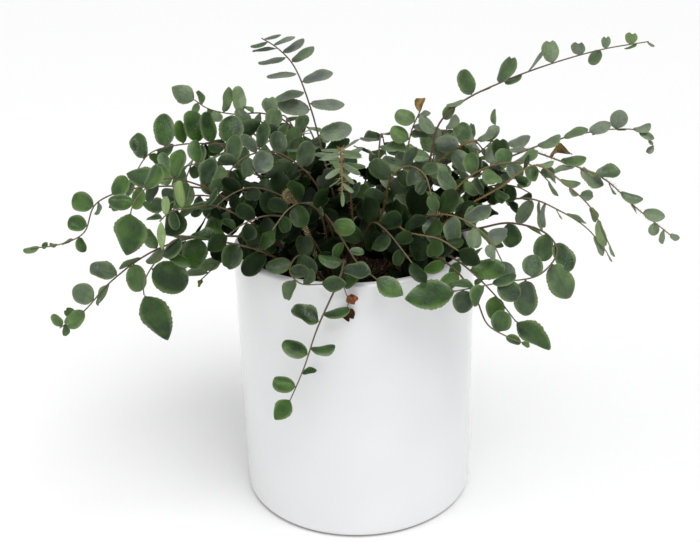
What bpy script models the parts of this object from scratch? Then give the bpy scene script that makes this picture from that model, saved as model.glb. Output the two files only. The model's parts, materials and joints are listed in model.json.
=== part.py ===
"""A potted button fern: a white glazed pot, the soil in it, and wiry fronds set with small leathery leaflets.

The origin is the centre of the pot's foot, +Z is up and the front of the plant looks along -Y.
Sizes are worked out in millimetres, and each object is built in metres.
"""
import math
import random
from collections import namedtuple

import bmesh
import bpy
import numpy as np
from mathutils import Matrix, Vector
from mathutils.bvhtree import BVHTree

MM = 0.001

# Pot
POT_RADIUS = 62.5
POT_HEIGHT = 142.0
POT_WALL = 5.0
POT_FLOOR = 6.0
POT_FOOT_ROUND = 4.0
POT_RIM_ROUND = 1.6
POT_SIDES = 36
SMOOTH_ANGLE = 40.0

# Soil
TOUCH_GAP = 0.3
SOIL_RADIUS = POT_RADIUS - POT_WALL - TOUCH_GAP
SOIL_BOTTOM = POT_FLOOR + TOUCH_GAP
SOIL_TOP = 124.0
SOIL_EDGE = 121.0
SOIL_CROWN_RADIUS = 46.0
SOIL_SIDES = 24
HOLE_RADIUS = 1.7
HOLE_SIDES = 5
HOLE_DEPTH = 8.0

# Stems
STEM_BASE_RADIUS = 1.0
STEM_TIP_RADIUS = 0.85
STEM_SIDES = 3
STEM_STEP = 2.0
STEM_BEND = 0.5
STEM_COLLAR = 2.5
STEM_BURIED = 7.0
STEM_SPACING = 3.0
HOLES_APART = 2.0 * HOLE_RADIUS + 3.0 * TOUCH_GAP
CURVE_SAMPLES = 24
MOST_TRIES = 160
TRY_STEP = 0.05
RISE_SHARE = 0.6

# Leaflets
LEAF_THICKNESS = 0.62
LEAF_OUTLINE = ((0.28, 0.48), (0.77, 0.44))
LEAF_CLEARANCE = 0.4
SOLID_LEAF_LEAST = 10.5
LEAVES_IN_A_RUN = 4
LEAVES_KEPT_IN_A_RUN = 2
CHECK_SIDES = 6
BOX_MARGIN = 2.0
NEAR_SHARE = 0.62

# The ways a leaflet may be held, the natural one first: more lift and more roll in degrees, and a share of
# its size.
HOLDS = ((0, 0, 1), (16, 0, 1), (-16, 0, 1), (0, 30, 1), (0, -30, 1), (32, 10, 1), (-32, -10, 1),
         (20, 50, 0.95), (-20, -50, 0.95), (50, 0, 0.92), (-50, 0, 0.92), (30, 80, 0.9), (-30, -80, 0.9),
         (70, 40, 0.8), (0, 0, 0.7), (25, 0, 0.66), (-25, 0, 0.66))

# How leaflets vary, in degrees and in shares: how much longer those laid by hand are than they look from
# the front, how far they swing towards the viewer, and how far those laid by rule lean along the stem, lift,
# roll, differ in size and shrink towards the tip.
SEEN_SHORT = 1.06
SWING = 18.0
FORWARD = (8.0, 26.0)
FORWARD_MORE = 22.0
LIFT = 22.0
ROLL = 42.0
SIZE_SPREAD = (0.86, 1.12)
WIDTH_SPREAD = (0.92, 1.08)
TIP_SHRINK = 0.5
TIP_POWER = 2.2
PITCH_TAPER = 0.42
LEAF_MARGIN = 0.35
TIP_SETBACK = 0.8
FACE_SHARE = 0.65
FACE_UP = 0.85
FACE_OUT = 0.45

SEED = 11

Frond = namedtuple("Frond", "name route leaf pitch width face terminal bare",
                   defaults=(13.0, 7.0, 0.70, None, 9.0, 0.38))
Blade = namedtuple("Blade", "frond index at along normal length width")

# The ways a frond's leaflets may face; without one they turn up and outward.
TO_LIGHT = (0.0, -0.25, 0.95)
HALF_FRONT = (0.0, -0.55, 0.8)
TO_FRONT = (0.0, -0.85, 0.5)
VIEW_PITCH = 22.3

# Fronds laid by hand: the root on the soil as (x, y), then the way points of the stem. Leaflets that follow
# a rule have a length, a pitch along the stem, a width as a share of the length, and a last one of its own
# length.
HAND_FRONDS = (
    Frond("upright", [(-5, 10), (-9, 5, 159), (-14, 8, 182), (-20, 12, 208), (-28, 14, 230),
                      (-36, 14, 239), (-43, 12, 244)], width=0.56, face=TO_LIGHT),
    Frond("right_upper", [(12, 9), (29, 10, 151), (40, 16, 176), (46, 20, 197), (58, 24, 207), (78, 30, 215),
                          (105, 36, 223), (134, 42, 229), (158, 44, 232)], face=TO_FRONT),
    Frond("right_high", [(18, 0), (45, 0, 154), (69, 2, 177), (91, 6, 186), (115, 12, 191), (137, 18, 192),
                         (152, 22, 189), (159, 22, 181)], face=TO_LIGHT),
    Frond("right_long", [(14, 18), (39, 22, 169), (52, 25, 180), (66, 25, 186), (88, 20, 183), (105, 10, 179),
                         (128, 0, 171), (144, -5, 157), (162, -10, 143)], face=HALF_FRONT),
    Frond("right_thin", [(22, -8), (51, -12, 158), (73, -16, 173), (89, -20, 185), (100, -26, 179),
                         (114, -32, 167), (124, -36, 148)], width=0.5, face=HALF_FRONT),
    Frond("right_low", [(24, 4), (50, 0, 148), (70, -4, 160), (89, -8, 164), (104, -10, 158), (118, -12, 149),
                        (129, -14, 136)], width=0.5, face=TO_LIGHT),
    Frond("right_loop", [(20, -16), (45, -22, 150), (62, -30, 157), (75, -38, 162), (90, -48, 160),
                         (94, -56, 154), (85, -64, 146), (66, -70, 145), (45, -74, 143)], face=TO_FRONT),
    Frond("lower_right", [(10, -18), (34, -40, 150), (45, -52, 151), (55, -62, 146), (65, -70, 137),
                          (73, -74, 127)], face=TO_FRONT),
    Frond("lower_thin", [(4, -20), (33, -45, 150), (46, -60, 148), (55, -68, 137), (60, -74, 126),
                         (68, -76, 121), (76, -78, 118)], face=TO_FRONT),
    Frond("front_hanging", [(-6, -24), (-5, -50, 150), (-6, -64, 150), (-9, -71, 145), (-18, -74, 126),
                            (-25, -75, 106), (-32, -76, 90)], face=TO_FRONT),
    Frond("left_lower", [(-22, -10), (-41, -30, 153), (-59, -38, 159), (-77, -45, 161), (-95, -52, 157),
                         (-114, -58, 145), (-128, -60, 131), (-140, -60, 123)], face=HALF_FRONT),
    Frond("left_far", [(-16, 6), (-42, 0, 164), (-69, -5, 172), (-91, -10, 176), (-112, -15, 176),
                       (-127, -18, 170), (-134, -20, 156), (-146, -22, 151), (-160, -24, 150)],
          face=HALF_FRONT),
    Frond("left_terminal", [(-18, -22), (-45, -45, 154), (-64, -55, 163), (-79, -60, 167), (-89, -64, 159),
                            (-95, -66, 151), (-97, -66, 146), (-97, -67, 142)], face=TO_FRONT),
    Frond("left_high", [(-9, 17), (-27, 18, 174), (-51, 22, 186), (-72, 24, 188), (-90, 24, 188),
                        (-106, 22, 184), (-116, 18, 171)], face=TO_FRONT),
    Frond("left_top", [(-4, 26), (-22, 36, 174), (-35, 44, 194), (-48, 48, 198), (-64, 52, 197),
                       (-78, 54, 200), (-85, 54, 205)], face=TO_FRONT),
    Frond("left_back", [(-12, 24), (-25, 28, 169), (-38, 34, 187), (-51, 38, 197), (-63, 42, 188),
                        (-75, 44, 174)], leaf=14.0, face=TO_FRONT, bare=0.40),
    Frond("left_deep", [(-22, 13), (-32, 10, 166), (-52, 8, 179), (-72, 4, 184), (-88, -1, 182),
                        (-98, -5, 178)], face=HALF_FRONT),
    Frond("left_rise", [(-12, 0), (-17, -4, 170), (-27, -8, 185), (-39, -12, 193), (-52, -18, 192),
                        (-63, -24, 183)], leaf=14.5, face=TO_FRONT, bare=0.42),
    Frond("left_round", [(-26, -4), (-50, -28, 166), (-71, -45, 187), (-86, -58, 194), (-96, -68, 188),
                         (-98, -71, 183)], face=TO_FRONT),
    Frond("left_mid", [(-15, -6), (-22, -12, 160), (-36, -22, 174), (-49, -32, 181), (-60, -42, 179),
                       (-69, -50, 172)], leaf=13.5, face=HALF_FRONT),
    Frond("left_under", [(-33, 6), (-45, 2, 150), (-57, -4, 163), (-67, -12, 170), (-77, -20, 174),
                         (-85, -26, 174), (-90, -30, 172)], face=HALF_FRONT),
    Frond("left_light", [(-20, -16), (-45, -35, 161), (-64, -50, 179), (-73, -62, 182), (-81, -72, 183),
                         (-83, -76, 182)], face=TO_LIGHT),
    Frond("left_front", [(-9, -18), (-26, -35, 163), (-39, -50, 173), (-50, -61, 173), (-57, -68, 170)],
          leaf=13.5, face=TO_FRONT, terminal=12.0),
    Frond("left_rim", [(-24, -10), (-30, -20, 146), (-46, -34, 149), (-58, -42, 149), (-64, -45, 146),
                       (-69, -46, 142)], face=HALF_FRONT),
    Frond("front_left", [(-12, -12), (-16, -30, 166), (-23, -42, 176), (-30, -54, 177), (-37, -62, 170)],
          leaf=13.0, face=TO_FRONT, terminal=11.0, bare=0.40),
    Frond("front_rim", [(-12, -28), (-26, -48, 152), (-30, -62, 150), (-25, -70, 147), (-15, -74, 148)],
          leaf=12.0, face=TO_FRONT, terminal=12.0, bare=0.42),
    Frond("front_mid", [(-4, -8), (-15, -20, 162), (-7, -38, 157), (1, -57, 151), (9, -69, 148)],
          face=TO_FRONT),
    Frond("centre_front", [(0, -15), (6, -25, 155), (10, -38, 164), (16, -50, 163), (22, -60, 158),
                           (26, -66, 154)], leaf=13.5, pitch=7.5, face=TO_FRONT, terminal=13.0),
    Frond("centre_young", [(0, 0), (-1, 0, 163), (-5, -10, 187), (-5, -25, 197), (-5, -42, 194),
                           (-5, -50, 183)],
          leaf=11.5, pitch=3.4, width=0.34, face=TO_LIGHT, terminal=6.0, bare=0.45),
    Frond("centre_right", [(6, -3), (16, -8, 163), (19, -16, 179), (27, -26, 188), (34, -34, 186),
                           (37, -38, 177)], face=TO_FRONT, terminal=11.0),
    Frond("crozier_back", [(8, 20), (23, 22, 152), (28, 24, 174), (32, 24, 193), (36, 22, 203)],
          face=TO_LIGHT),
    Frond("top_short", [(17, 11), (39, 22, 160), (45, 28, 181), (51, 30, 192)], face=TO_FRONT, bare=0.45),
    Frond("right_crown", [(10, 16), (24, 26, 158), (36, 33, 172), (54, 37, 180), (69, 36, 178),
                          (82, 34, 167)], face=HALF_FRONT),
    Frond("right_small", [(24, 20), (47, 26, 159), (64, 36, 172), (80, 44, 184), (77, 46, 190)],
          face=TO_LIGHT, bare=0.42),
    Frond("right_mid", [(27, 9), (56, 5, 160), (73, 0, 169), (84, -4, 169), (90, -6, 166)],
          face=HALF_FRONT),
    Frond("right_rise", [(30, -3), (47, -4, 162), (62, -4, 177), (76, -8, 183), (88, -12, 183),
                         (97, -16, 175)], leaf=13.5, face=HALF_FRONT),
    Frond("right_near", [(15, -6), (30, -25, 158), (41, -40, 168), (52, -50, 168), (63, -56, 160),
                         (68, -60, 151)], leaf=15.0, pitch=7.5, face=TO_FRONT, terminal=12.0),
    Frond("right_front", [(8, -10), (18, -30, 160), (26, -48, 162), (39, -60, 163), (47, -68, 160)],
          leaf=14.0, pitch=7.5, face=TO_FRONT, terminal=12.0),
)

# Leaflets laid by hand on the fronds that stand clear of the rest: the share of the stem where each one
# grows, the way it points as seen from the front, in degrees from the right and turning left, its length, how
# far its face is turned up from the front, and its width as a share of the length where that isn't the
# frond's own.
HAND_LEAVES = {
    "upright": ((0.545, 15, 17, 20, 0.6), (0.65, 172, 16.5, 22), (0.675, 0, 17, 45), (0.725, 196, 15, 48),
                (0.765, 16, 15.5, 42), (0.80, 187, 15, 58), (0.85, 38, 13.5, 40), (0.875, 190, 14, 58),
                (0.90, 32, 12, 45), (0.925, 184, 12, 65), (0.945, 22, 11, 55), (0.968, 190, 9, 52),
                (0.99, 15, 8.5, 55)),
    "right_upper": ((0.41, 62, 11.5, 10), (0.487, 186, 9.5, 62), (0.507, 110, 13.5, 15), (0.57, 195, 7, 72),
                    (0.585, 64, 15, 50), (0.655, 198, 10, 58), (0.67, 58, 13.5, 50), (0.735, 93, 12, 0),
                    (0.81, 85, 7.5, 0, 0.95), (0.872, 232, 8.5, 10), (0.885, 85, 6.5, 20),
                    (0.95, 80, 6, 10, 1.0), (0.97, 200, 7, 68), (1.0, -35, 4.5, 45)),
    "right_high": ((0.50, 200, 11, 60), (0.555, 178, 10, 60), (0.585, 30, 12, 55), (0.67, 20, 12.5, 58),
                   (0.755, 27, 11.5, 40), (0.825, 178, 8.5, 70), (0.845, 82, 9.5, 5, 0.95),
                   (0.885, 178, 5.5, 75), (0.905, 20, 9, 52), (0.925, -27, 8.5, 30, 0.6),
                   (0.97, -60, 5.5, 20, 0.6), (1.0, 230, 5, 30)),
    "right_long": ((0.42, 38, 11, 55), (0.45, 62, 9, 25), (0.475, 245, 11.5, 20), (0.50, 14, 12, 45),
                   (0.57, 200, 11, 60), (0.62, 8, 11, 60), (0.65, 5, 12.5, 50), (0.69, 192, 13, 68, 0.6),
                   (0.705, -34, 14, 35), (0.745, 7, 12, 35), (0.785, -50, 7.5, 68),
                   (0.825, -22, 11.5, 42, 0.6), (0.86, -52, 7.5, 68), (0.905, -10, 11, 30),
                   (0.945, -85, 6.5, 20, 1.0), (0.975, -80, 7.5, 30, 0.6), (1.0, -20, 5, 20)),
    "right_thin": ((0.62, 20, 9, 60), (0.66, -50, 8, 60), (0.715, -18, 10, 50), (0.755, -42, 7, 72),
                   (0.80, 5, 6.5, 0, 0.75), (0.85, -62, 8, 50), (0.90, -66, 12.5, 30), (1.0, -60, 6, 50)),
    "right_low": ((0.62, 236, 13.5, 15, 0.5), (0.645, -82, 14.5, 62, 0.5), (0.67, -82, 12, 56),
                  (0.72, -50, 6, 68), (0.765, -20, 12, 60), (0.91, -62, 11, 35, 0.5), (1.0, -50, 6, 60)),
    "right_loop": ((0.33, 100, 11, 40), (0.345, -36, 14, 30, 0.42), (0.445, -75, 12, 0, 0.74),
                   (0.50, -24, 9, 74), (0.57, -100, 12.5, 10), (0.61, -60, 14.5, 50), (0.685, -60, 17.5, 8),
                   (0.765, 78, 10.5, 0, 0.88), (0.785, -88, 16, 10), (0.873, -34, 11.5, 8, 0.8),
                   (0.89, 27, 11, 48, 0.6), (0.915, 235, 11.5, 10, 0.8), (0.94, 165, 12, 40),
                   (0.975, -92, 10.5, 0, 0.85), (1.0, 187, 22.5, 5, 0.6)),
    "lower_right": ((0.40, 60, 11, 30), (0.46, 250, 11, 30), (0.60, 14, 13.5, 30, 0.5), (0.615, 240, 8, 25),
                    (0.68, 2, 15.5, 5, 0.6), (0.76, 205, 9, 55), (0.85, 262, 11, 15, 0.75),
                    (1.0, -44, 20.5, 0, 0.55)),
    "lower_thin": ((0.52, 200, 10, 40), (0.60, 215, 10, 20), (0.70, 190, 9, 40), (0.895, 80, 10.5, 0, 0.84),
                   (0.925, -15, 9.5, 15, 0.6), (1.0, -25, 4, 30)),
    "front_hanging": ((0.615, 16, 12, 60), (0.645, 147, 13.4, 38), (0.765, 13, 11, 58),
                      (0.79, 150, 12.6, 36), (0.875, 16, 7, 56), (0.935, 162, 10.6, 22),
                      (1.0, 230, 11.5, 12, 0.78)),
    "left_lower": ((0.46, 60, 12, 30), (0.495, 166, 14, 45, 0.42), (0.52, 258, 13, 25, 0.85),
                   (0.585, 225, 11.5, 5, 0.95), (0.61, 110, 10, 45), (0.66, 203, 12, 52, 0.6),
                   (0.69, -80, 13, 0, 0.7), (0.75, 158, 13.5, 22, 0.62), (0.785, 235, 11, 30),
                   (0.855, 152, 11, 0, 0.86), (0.90, 218, 10.5, 35), (0.935, 140, 6, 10),
                   (0.975, -88, 5.5, 50), (0.995, 118, 7.5, 48)),
    "left_far": ((0.42, 70, 12, 30), (0.48, 235, 12, 40), (0.55, 110, 12, 30), (0.62, 240, 11.5, 20),
                 (0.68, 236, 10, 25), (0.705, 42, 11.5, 10, 0.75), (0.745, 245, 6.5, 55),
                 (0.765, 158, 12.5, 0, 0.75), (0.825, 163, 9.5, 10, 0.82), (0.865, -68, 7.6, 40),
                 (0.88, 197, 6.5, 62), (0.925, 165, 4.5, 55), (0.955, 150, 4, 10, 0.9),
                 (0.975, 184, 8, 52)),
    "left_terminal": ((0.55, 100, 12, 40), (0.635, 250, 14, 20, 0.92), (0.68, 5, 12, 58),
                      (0.72, 230, 11, 40), (0.80, -28, 13, 45, 0.5), (0.885, -28, 17, 0, 0.84),
                      (1.0, -68, 24, 0, 0.58)),
    "left_high": ((0.38, 70, 14, 40), (0.45, 235, 13, 45), (0.50, 80, 14, 40), (0.55, 250, 13, 30),
                  (0.60, 90, 16, 0, 0.8), (0.665, 96, 16, 50), (0.70, 250, 12, 45), (0.72, 95, 17.5, 5),
                  (0.765, 92, 12, 52), (0.795, 200, 11, 30, 0.8), (0.83, 93, 17.5, 0, 0.62),
                  (0.89, -38, 12, 50), (0.915, 106, 14, 0, 0.62), (0.95, 235, 9, 60), (1.0, 250, 9, 40)),
    "left_top": ((0.52, 60, 11, 30), (0.58, 230, 11, 40), (0.65, 100, 10, 10, 0.85), (0.70, 215, 9, 40),
                 (0.735, 135, 7, 60), (0.795, 92, 15.5, 28, 0.5), (0.865, 78, 13.5, 20, 0.45),
                 (0.905, 288, 7.5, 20, 0.8), (0.935, 300, 8, 50), (0.96, 98, 8.5, 10, 0.7),
                 (0.98, 240, 6.5, 20, 0.7), (1.0, 148, 13.5, 10, 0.8)),
    "left_round": ((0.50, 80, 12, 30), (0.56, 240, 12, 30), (0.64, 75, 13, 20), (0.72, 250, 12, 30),
                   (0.78, 70, 13, 30), (0.84, 235, 11, 35), (0.90, 60, 12, 30), (0.96, 177, 10.5, 0, 0.65),
                   (1.0, 258, 19.5, 5, 0.78)),
    "left_deep": ((0.38, 70, 13, 30), (0.45, 240, 13, 30), (0.52, 85, 13, 30), (0.59, 235, 13, 35),
                  (0.66, 80, 14, 25), (0.74, 240, 13, 30), (0.81, 95, 12, 40), (0.87, 235, 12, 30),
                  (0.93, 110, 11, 45), (1.0, 168, 16.5, 15, 0.68)),
    "left_light": ((0.52, 70, 11, 40), (0.60, 240, 10, 40), (0.68, 179, 11, 60), (0.74, 60, 9, 55),
                   (0.80, 203, 10.5, 56), (0.87, 92, 12, 20, 0.36), (0.893, 258, 12, 15, 0.88),
                   (0.92, -78, 8, 30, 0.6), (0.96, 92, 9, 5, 0.38), (0.98, 172, 8, 55, 0.5),
                   (1.0, -86, 12.5, 10, 0.3)),
    "left_rim": ((0.42, 30, 11.5, 50), (0.62, 15, 10.5, 55), (0.70, 165, 10.5, 58),
                 (0.82, 183, 10.5, 20, 0.6), (0.93, 178, 12, 20, 0.55), (1.0, 240, 4, 40)),
    "front_mid": ((0.405, 160, 12, 15, 0.68), (0.44, 236, 13.5, 12, 0.6), (0.53, -14, 11, 10, 0.78),
                  (0.665, 258, 11.5, 8, 0.72), (0.745, -5, 7, 30, 0.6), (0.875, 236, 12.2, 5, 0.78),
                  (1.0, -32, 14, 8, 0.68)),
    "left_under": ((0.42, 80, 13, 30), (0.50, 245, 12, 35), (0.57, 95, 12, 30), (0.64, 235, 12, 35),
                   (0.71, 100, 11, 40), (0.78, 240, 11, 35), (0.84, 130, 10, 45),
                   (0.90, 155, 11.5, 12, 0.62), (0.95, 225, 7.5, 25), (1.0, 172, 12.5, 10, 0.62)),
    "right_crown": ((0.48, 130, 12, 30), (0.54, 255, 11, 45), (0.61, 100, 14, 20), (0.66, 238, 10, 35),
                    (0.705, 92, 8, 10, 0.9), (0.76, -62, 11.5, 25), (0.795, 98, 10.5, 15, 0.85),
                    (0.83, -75, 10, 45), (0.875, 5, 12, 15, 0.85), (0.93, -80, 9, 50), (0.96, 60, 8, 50),
                    (1.0, -40, 8, 40)),
    "crozier_back": ((0.45, 20, 12, 30), (0.50, 160, 12, 35), (0.56, 10, 12, 45), (0.61, 150, 12, 25),
                     (0.67, 15, 12, 50), (0.73, 160, 11, 40), (0.80, 150, 11, 15, 0.8), (0.83, 10, 11, 35),
                     (0.88, 12, 10, 40), (0.92, 147, 11, 15, 0.8), (0.955, 20, 7, 50),
                     (1.0, 70, 9, 10, 0.5)),
}

# Fronds laid by rule: how many, the first and last bearing in degrees from +X, and the least and the
# greatest root radius, reach from the pot's middle, height of the crest and height of the tip.
RuleSet = namedtuple("RuleSet", "name count first last root reach crest tip")
RULE_SETS = (
    RuleSet("back_right", 3, 20, 78, (30, 36), (96, 122), (172, 184), (136, 160)),
    RuleSet("back_left", 4, 98, 162, (30, 36), (96, 122), (180, 194), (138, 162)),
    RuleSet("back_short", 4, 50, 136, (36, 43), (64, 84), (160, 172), (142, 156)),
    RuleSet("inner", 4, 30, 200, (8, 22), (30, 52), (170, 184), (160, 176)),
)

# The arch that they have in common: shares of the reach, of the crest's height, of the tip's height and of
# the sway.
ARCH = ((0.0, 0.0, 0.0, 0.0), (0.16, 0.55, 0.0, 0.1), (0.42, 0.90, 0.0, 0.5), (0.68, 1.0, 0.0, 0.9),
        (0.88, 0.45, 0.5, 1.0), (1.0, 0.0, 1.0, 0.9))
AIM = 6.0
SWAY = 9.0
RULE_LEAF = (12.0, 15.0)


def drop_everything():
    """Clears the objects that a new Blender file starts with."""
    for thing in list(bpy.data.objects):
        bpy.data.objects.remove(thing, do_unlink=True)


def finish_material(name, colour, roughness, metallic=0.0):
    """A plain painted or grown surface."""
    material = bpy.data.materials.new(name)
    material.use_nodes = True
    shader = material.node_tree.nodes["Principled BSDF"]
    shader.inputs["Base Color"].default_value = (*colour, 1.0)
    shader.inputs["Roughness"].default_value = roughness
    shader.inputs["Metallic"].default_value = metallic
    return material


def add_object(name, mesh, material):
    """Puts a mesh in the scene with its material."""
    mesh.materials.append(material)
    thing = bpy.data.objects.new(name, mesh)
    bpy.context.scene.collection.objects.link(thing)
    return thing


def mesh_from_points(name, points, faces):
    """A mesh in metres from points in millimetres."""
    mesh = bpy.data.meshes.new(name)
    mesh.from_pydata([Vector(point) * MM for point in points], [], faces)
    mesh.update()
    return mesh


def quarter_round(centre_r, centre_z, radius, start, steps=2):
    """Points on a quarter circle of the pot's profile, from a starting angle in degrees, turning left."""
    angles = [math.radians(start + 90.0 * k / steps) for k in range(steps + 1)]
    return [(centre_r + radius * math.cos(a), centre_z + radius * math.sin(a)) for a in angles]


def pot_profile():
    """The pot's wall in section, as (radius, height), from under the foot round to the inside floor."""
    foot = quarter_round(POT_RADIUS - POT_FOOT_ROUND, POT_FOOT_ROUND, POT_FOOT_ROUND, -90.0)
    rim_outer = quarter_round(POT_RADIUS - POT_RIM_ROUND, POT_HEIGHT - POT_RIM_ROUND, POT_RIM_ROUND, 0.0)
    inside = POT_RADIUS - POT_WALL
    rim_inner = quarter_round(inside + POT_RIM_ROUND, POT_HEIGHT - POT_RIM_ROUND, POT_RIM_ROUND, 90.0)
    return foot + rim_outer + rim_inner + [(inside, POT_FLOOR)]


def turned_mesh(name, profile, sides):
    """Turns a profile round the Z axis and closes it with a disc at each end."""
    points = []
    for radius, height in profile:
        for k in range(sides):
            turn = 2.0 * math.pi * k / sides
            points.append((radius * math.cos(turn), radius * math.sin(turn), height))
    faces = [tuple(reversed(range(sides)))]
    for ring in range(len(profile) - 1):
        low, high = ring * sides, (ring + 1) * sides
        for k in range(sides):
            after = (k + 1) % sides
            faces.append((low + k, low + after, high + after, high + k))
    last = (len(profile) - 1) * sides
    faces.append(tuple(range(last, last + sides)))
    return mesh_from_points(name, points, faces)


def build_pot():
    """The glazed cylinder, open at the top, with a flat foot."""
    mesh = turned_mesh("pot", pot_profile(), POT_SIDES)
    mesh.shade_smooth()
    mesh.set_sharp_from_angle(angle=math.radians(SMOOTH_ANGLE))
    return add_object("pot", mesh, finish_material("white_glaze", (0.86, 0.87, 0.89), 0.12))


def build_soil(roots):
    """The soil fills the pot to below the rim, with a plain hole for each stem."""
    profile = [(SOIL_RADIUS, SOIL_BOTTOM), (SOIL_RADIUS, SOIL_EDGE), (SOIL_CROWN_RADIUS, SOIL_TOP)]
    soil = add_object("soil", turned_mesh("soil", profile, SOIL_SIDES),
                      finish_material("potting_soil", (0.035, 0.024, 0.017), 0.95))
    drill = bmesh.new()
    for x, y in roots:
        place = Matrix.Translation(Vector((x, y, SOIL_TOP)) * MM)
        bmesh.ops.create_cone(drill, cap_ends=True, segments=HOLE_SIDES, radius1=HOLE_RADIUS * MM,
                              radius2=HOLE_RADIUS * MM, depth=2.0 * HOLE_DEPTH * MM, matrix=place)
    drill_mesh = bpy.data.meshes.new("drill")
    drill.to_mesh(drill_mesh)
    drill.free()
    drill_object = bpy.data.objects.new("drill", drill_mesh)
    bpy.context.scene.collection.objects.link(drill_object)
    cut = soil.modifiers.new("stem_holes", "BOOLEAN")
    cut.operation = "DIFFERENCE"
    cut.object = drill_object
    apply_modifiers(soil)
    bpy.data.objects.remove(drill_object, do_unlink=True)
    return soil


def apply_modifiers(thing):
    """Replaces an object's mesh with the result of its modifiers."""
    graph = bpy.context.evaluated_depsgraph_get()
    result = bpy.data.meshes.new_from_object(thing.evaluated_get(graph))
    thing.modifiers.clear()
    thing.data = result


def smooth_route(way_points, step=STEM_STEP):
    """Points an even step apart on a centripetal Catmull-Rom curve through a stem's way points."""
    given = [np.array(point, dtype=float) for point in way_points]
    given = [2.0 * given[0] - given[1]] + given + [2.0 * given[-1] - given[-2]]
    dense = []
    for p0, p1, p2, p3 in zip(given, given[1:], given[2:], given[3:]):
        k0 = 0.0
        k1 = k0 + math.sqrt(np.linalg.norm(p1 - p0))
        k2 = k1 + math.sqrt(np.linalg.norm(p2 - p1))
        k3 = k2 + math.sqrt(np.linalg.norm(p3 - p2))
        for k in np.linspace(k1, k2, CURVE_SAMPLES, endpoint=False):
            a1 = p0 + (p1 - p0) * (k - k0) / (k1 - k0)
            a2 = p1 + (p2 - p1) * (k - k1) / (k2 - k1)
            a3 = p2 + (p3 - p2) * (k - k2) / (k3 - k2)
            b1 = a1 + (a2 - a1) * (k - k0) / (k2 - k0)
            b2 = a2 + (a3 - a2) * (k - k1) / (k3 - k1)
            dense.append(b1 + (b2 - b1) * (k - k1) / (k2 - k1))
    dense.append(given[-2])
    dense = np.array(dense)
    travelled = np.concatenate([[0.0], np.cumsum(np.linalg.norm(np.diff(dense, axis=0), axis=1))])
    count = max(2, int(round(travelled[-1] / step)))
    wanted = np.linspace(0.0, travelled[-1], count + 1)
    return np.stack([np.interp(wanted, travelled, dense[:, axis]) for axis in range(3)], axis=1)


def stem_way_points(route):
    """A route's way points, with the root turned into a short upright start above the soil."""
    root = route[0]
    return [(root[0], root[1], SOIL_TOP + STEM_COLLAR)] + list(route[1:])


def rule_fronds():
    """The back and the heart of the plant: arching fronds spread evenly over a sector, by rule."""
    fronds = []
    for rule in RULE_SETS:
        for k in range(rule.count):
            draw = random.Random(f"{SEED}-{rule.name}-{k}")
            bearing = rule.first + (rule.last - rule.first) * (k + 0.5) / rule.count + draw.uniform(-AIM, AIM)
            outward = Vector((math.cos(math.radians(bearing)), math.sin(math.radians(bearing)), 0.0))
            sideways = Vector((-outward.y, outward.x, 0.0))
            root = draw.uniform(*rule.root)
            reach = draw.uniform(*rule.reach)
            crest = draw.uniform(*rule.crest) - SOIL_TOP
            tip = draw.uniform(*rule.tip) - SOIL_TOP
            sway = draw.uniform(-SWAY, SWAY)
            span = reach - root
            route = []
            for share, of_crest, of_tip, of_sway in ARCH:
                spot = outward * (root + share * span) + sideways * (of_sway * sway)
                route.append((spot.x, spot.y, SOIL_TOP + of_crest * crest + of_tip * tip))
            route[0] = route[0][:2]
            fronds.append(Frond(f"{rule.name}_{k + 1}", route, leaf=draw.uniform(*RULE_LEAF)))
    return fronds


def nudged(route, draw, amount):
    """A route with its root and way points moved a little, the tip most of all."""
    moved = [(route[0][0] + draw.uniform(-1, 1) * amount, route[0][1] + draw.uniform(-1, 1) * amount)]
    for x, y, z in route[1:]:
        moved.append((x + draw.uniform(-1, 1) * amount, y + draw.uniform(-1, 1) * amount,
                      z + draw.uniform(-1, 1) * RISE_SHARE * amount))
    return moved


def clear_of_pot(line):
    """Whether a stem stays clear of the pot's wall and rim."""
    reach = np.hypot(line[:, 0], line[:, 1])
    margin = STEM_BASE_RADIUS + STEM_BEND + TOUCH_GAP
    inside = reach < POT_RADIUS - POT_WALL - margin
    outside = reach > POT_RADIUS + margin
    above = line[:, 2] > POT_HEIGHT + margin
    return bool(np.all(inside | outside | above))


def lay_stems(fronds):
    """Lays the stems one after another, moving each by small steps until it is clear of those before it."""
    laid = {}
    for frond in fronds:
        draw = random.Random(f"{SEED}-{frond.name}")
        best = None
        for attempt in range(MOST_TRIES):
            route = nudged(frond.route, draw, TRY_STEP * attempt) if attempt else frond.route
            line = smooth_route(stem_way_points(route))
            gap = STEM_SPACING
            for other in laid.values():
                gap = min(gap, np.linalg.norm(line[:, None] - other[None, :], axis=2).min())
                gap = min(gap, STEM_SPACING * np.linalg.norm(line[0] - other[0]) / HOLES_APART)
            if not clear_of_pot(line):
                gap -= STEM_SPACING
            if best is None or gap > best[0]:
                best = (gap, line)
            if gap >= STEM_SPACING:
                break
        laid[frond.name] = best[1]
        if best[0] < STEM_SPACING:
            print("stem left too near another:", frond.name, round(float(best[0]), 2))
    return laid


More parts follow.
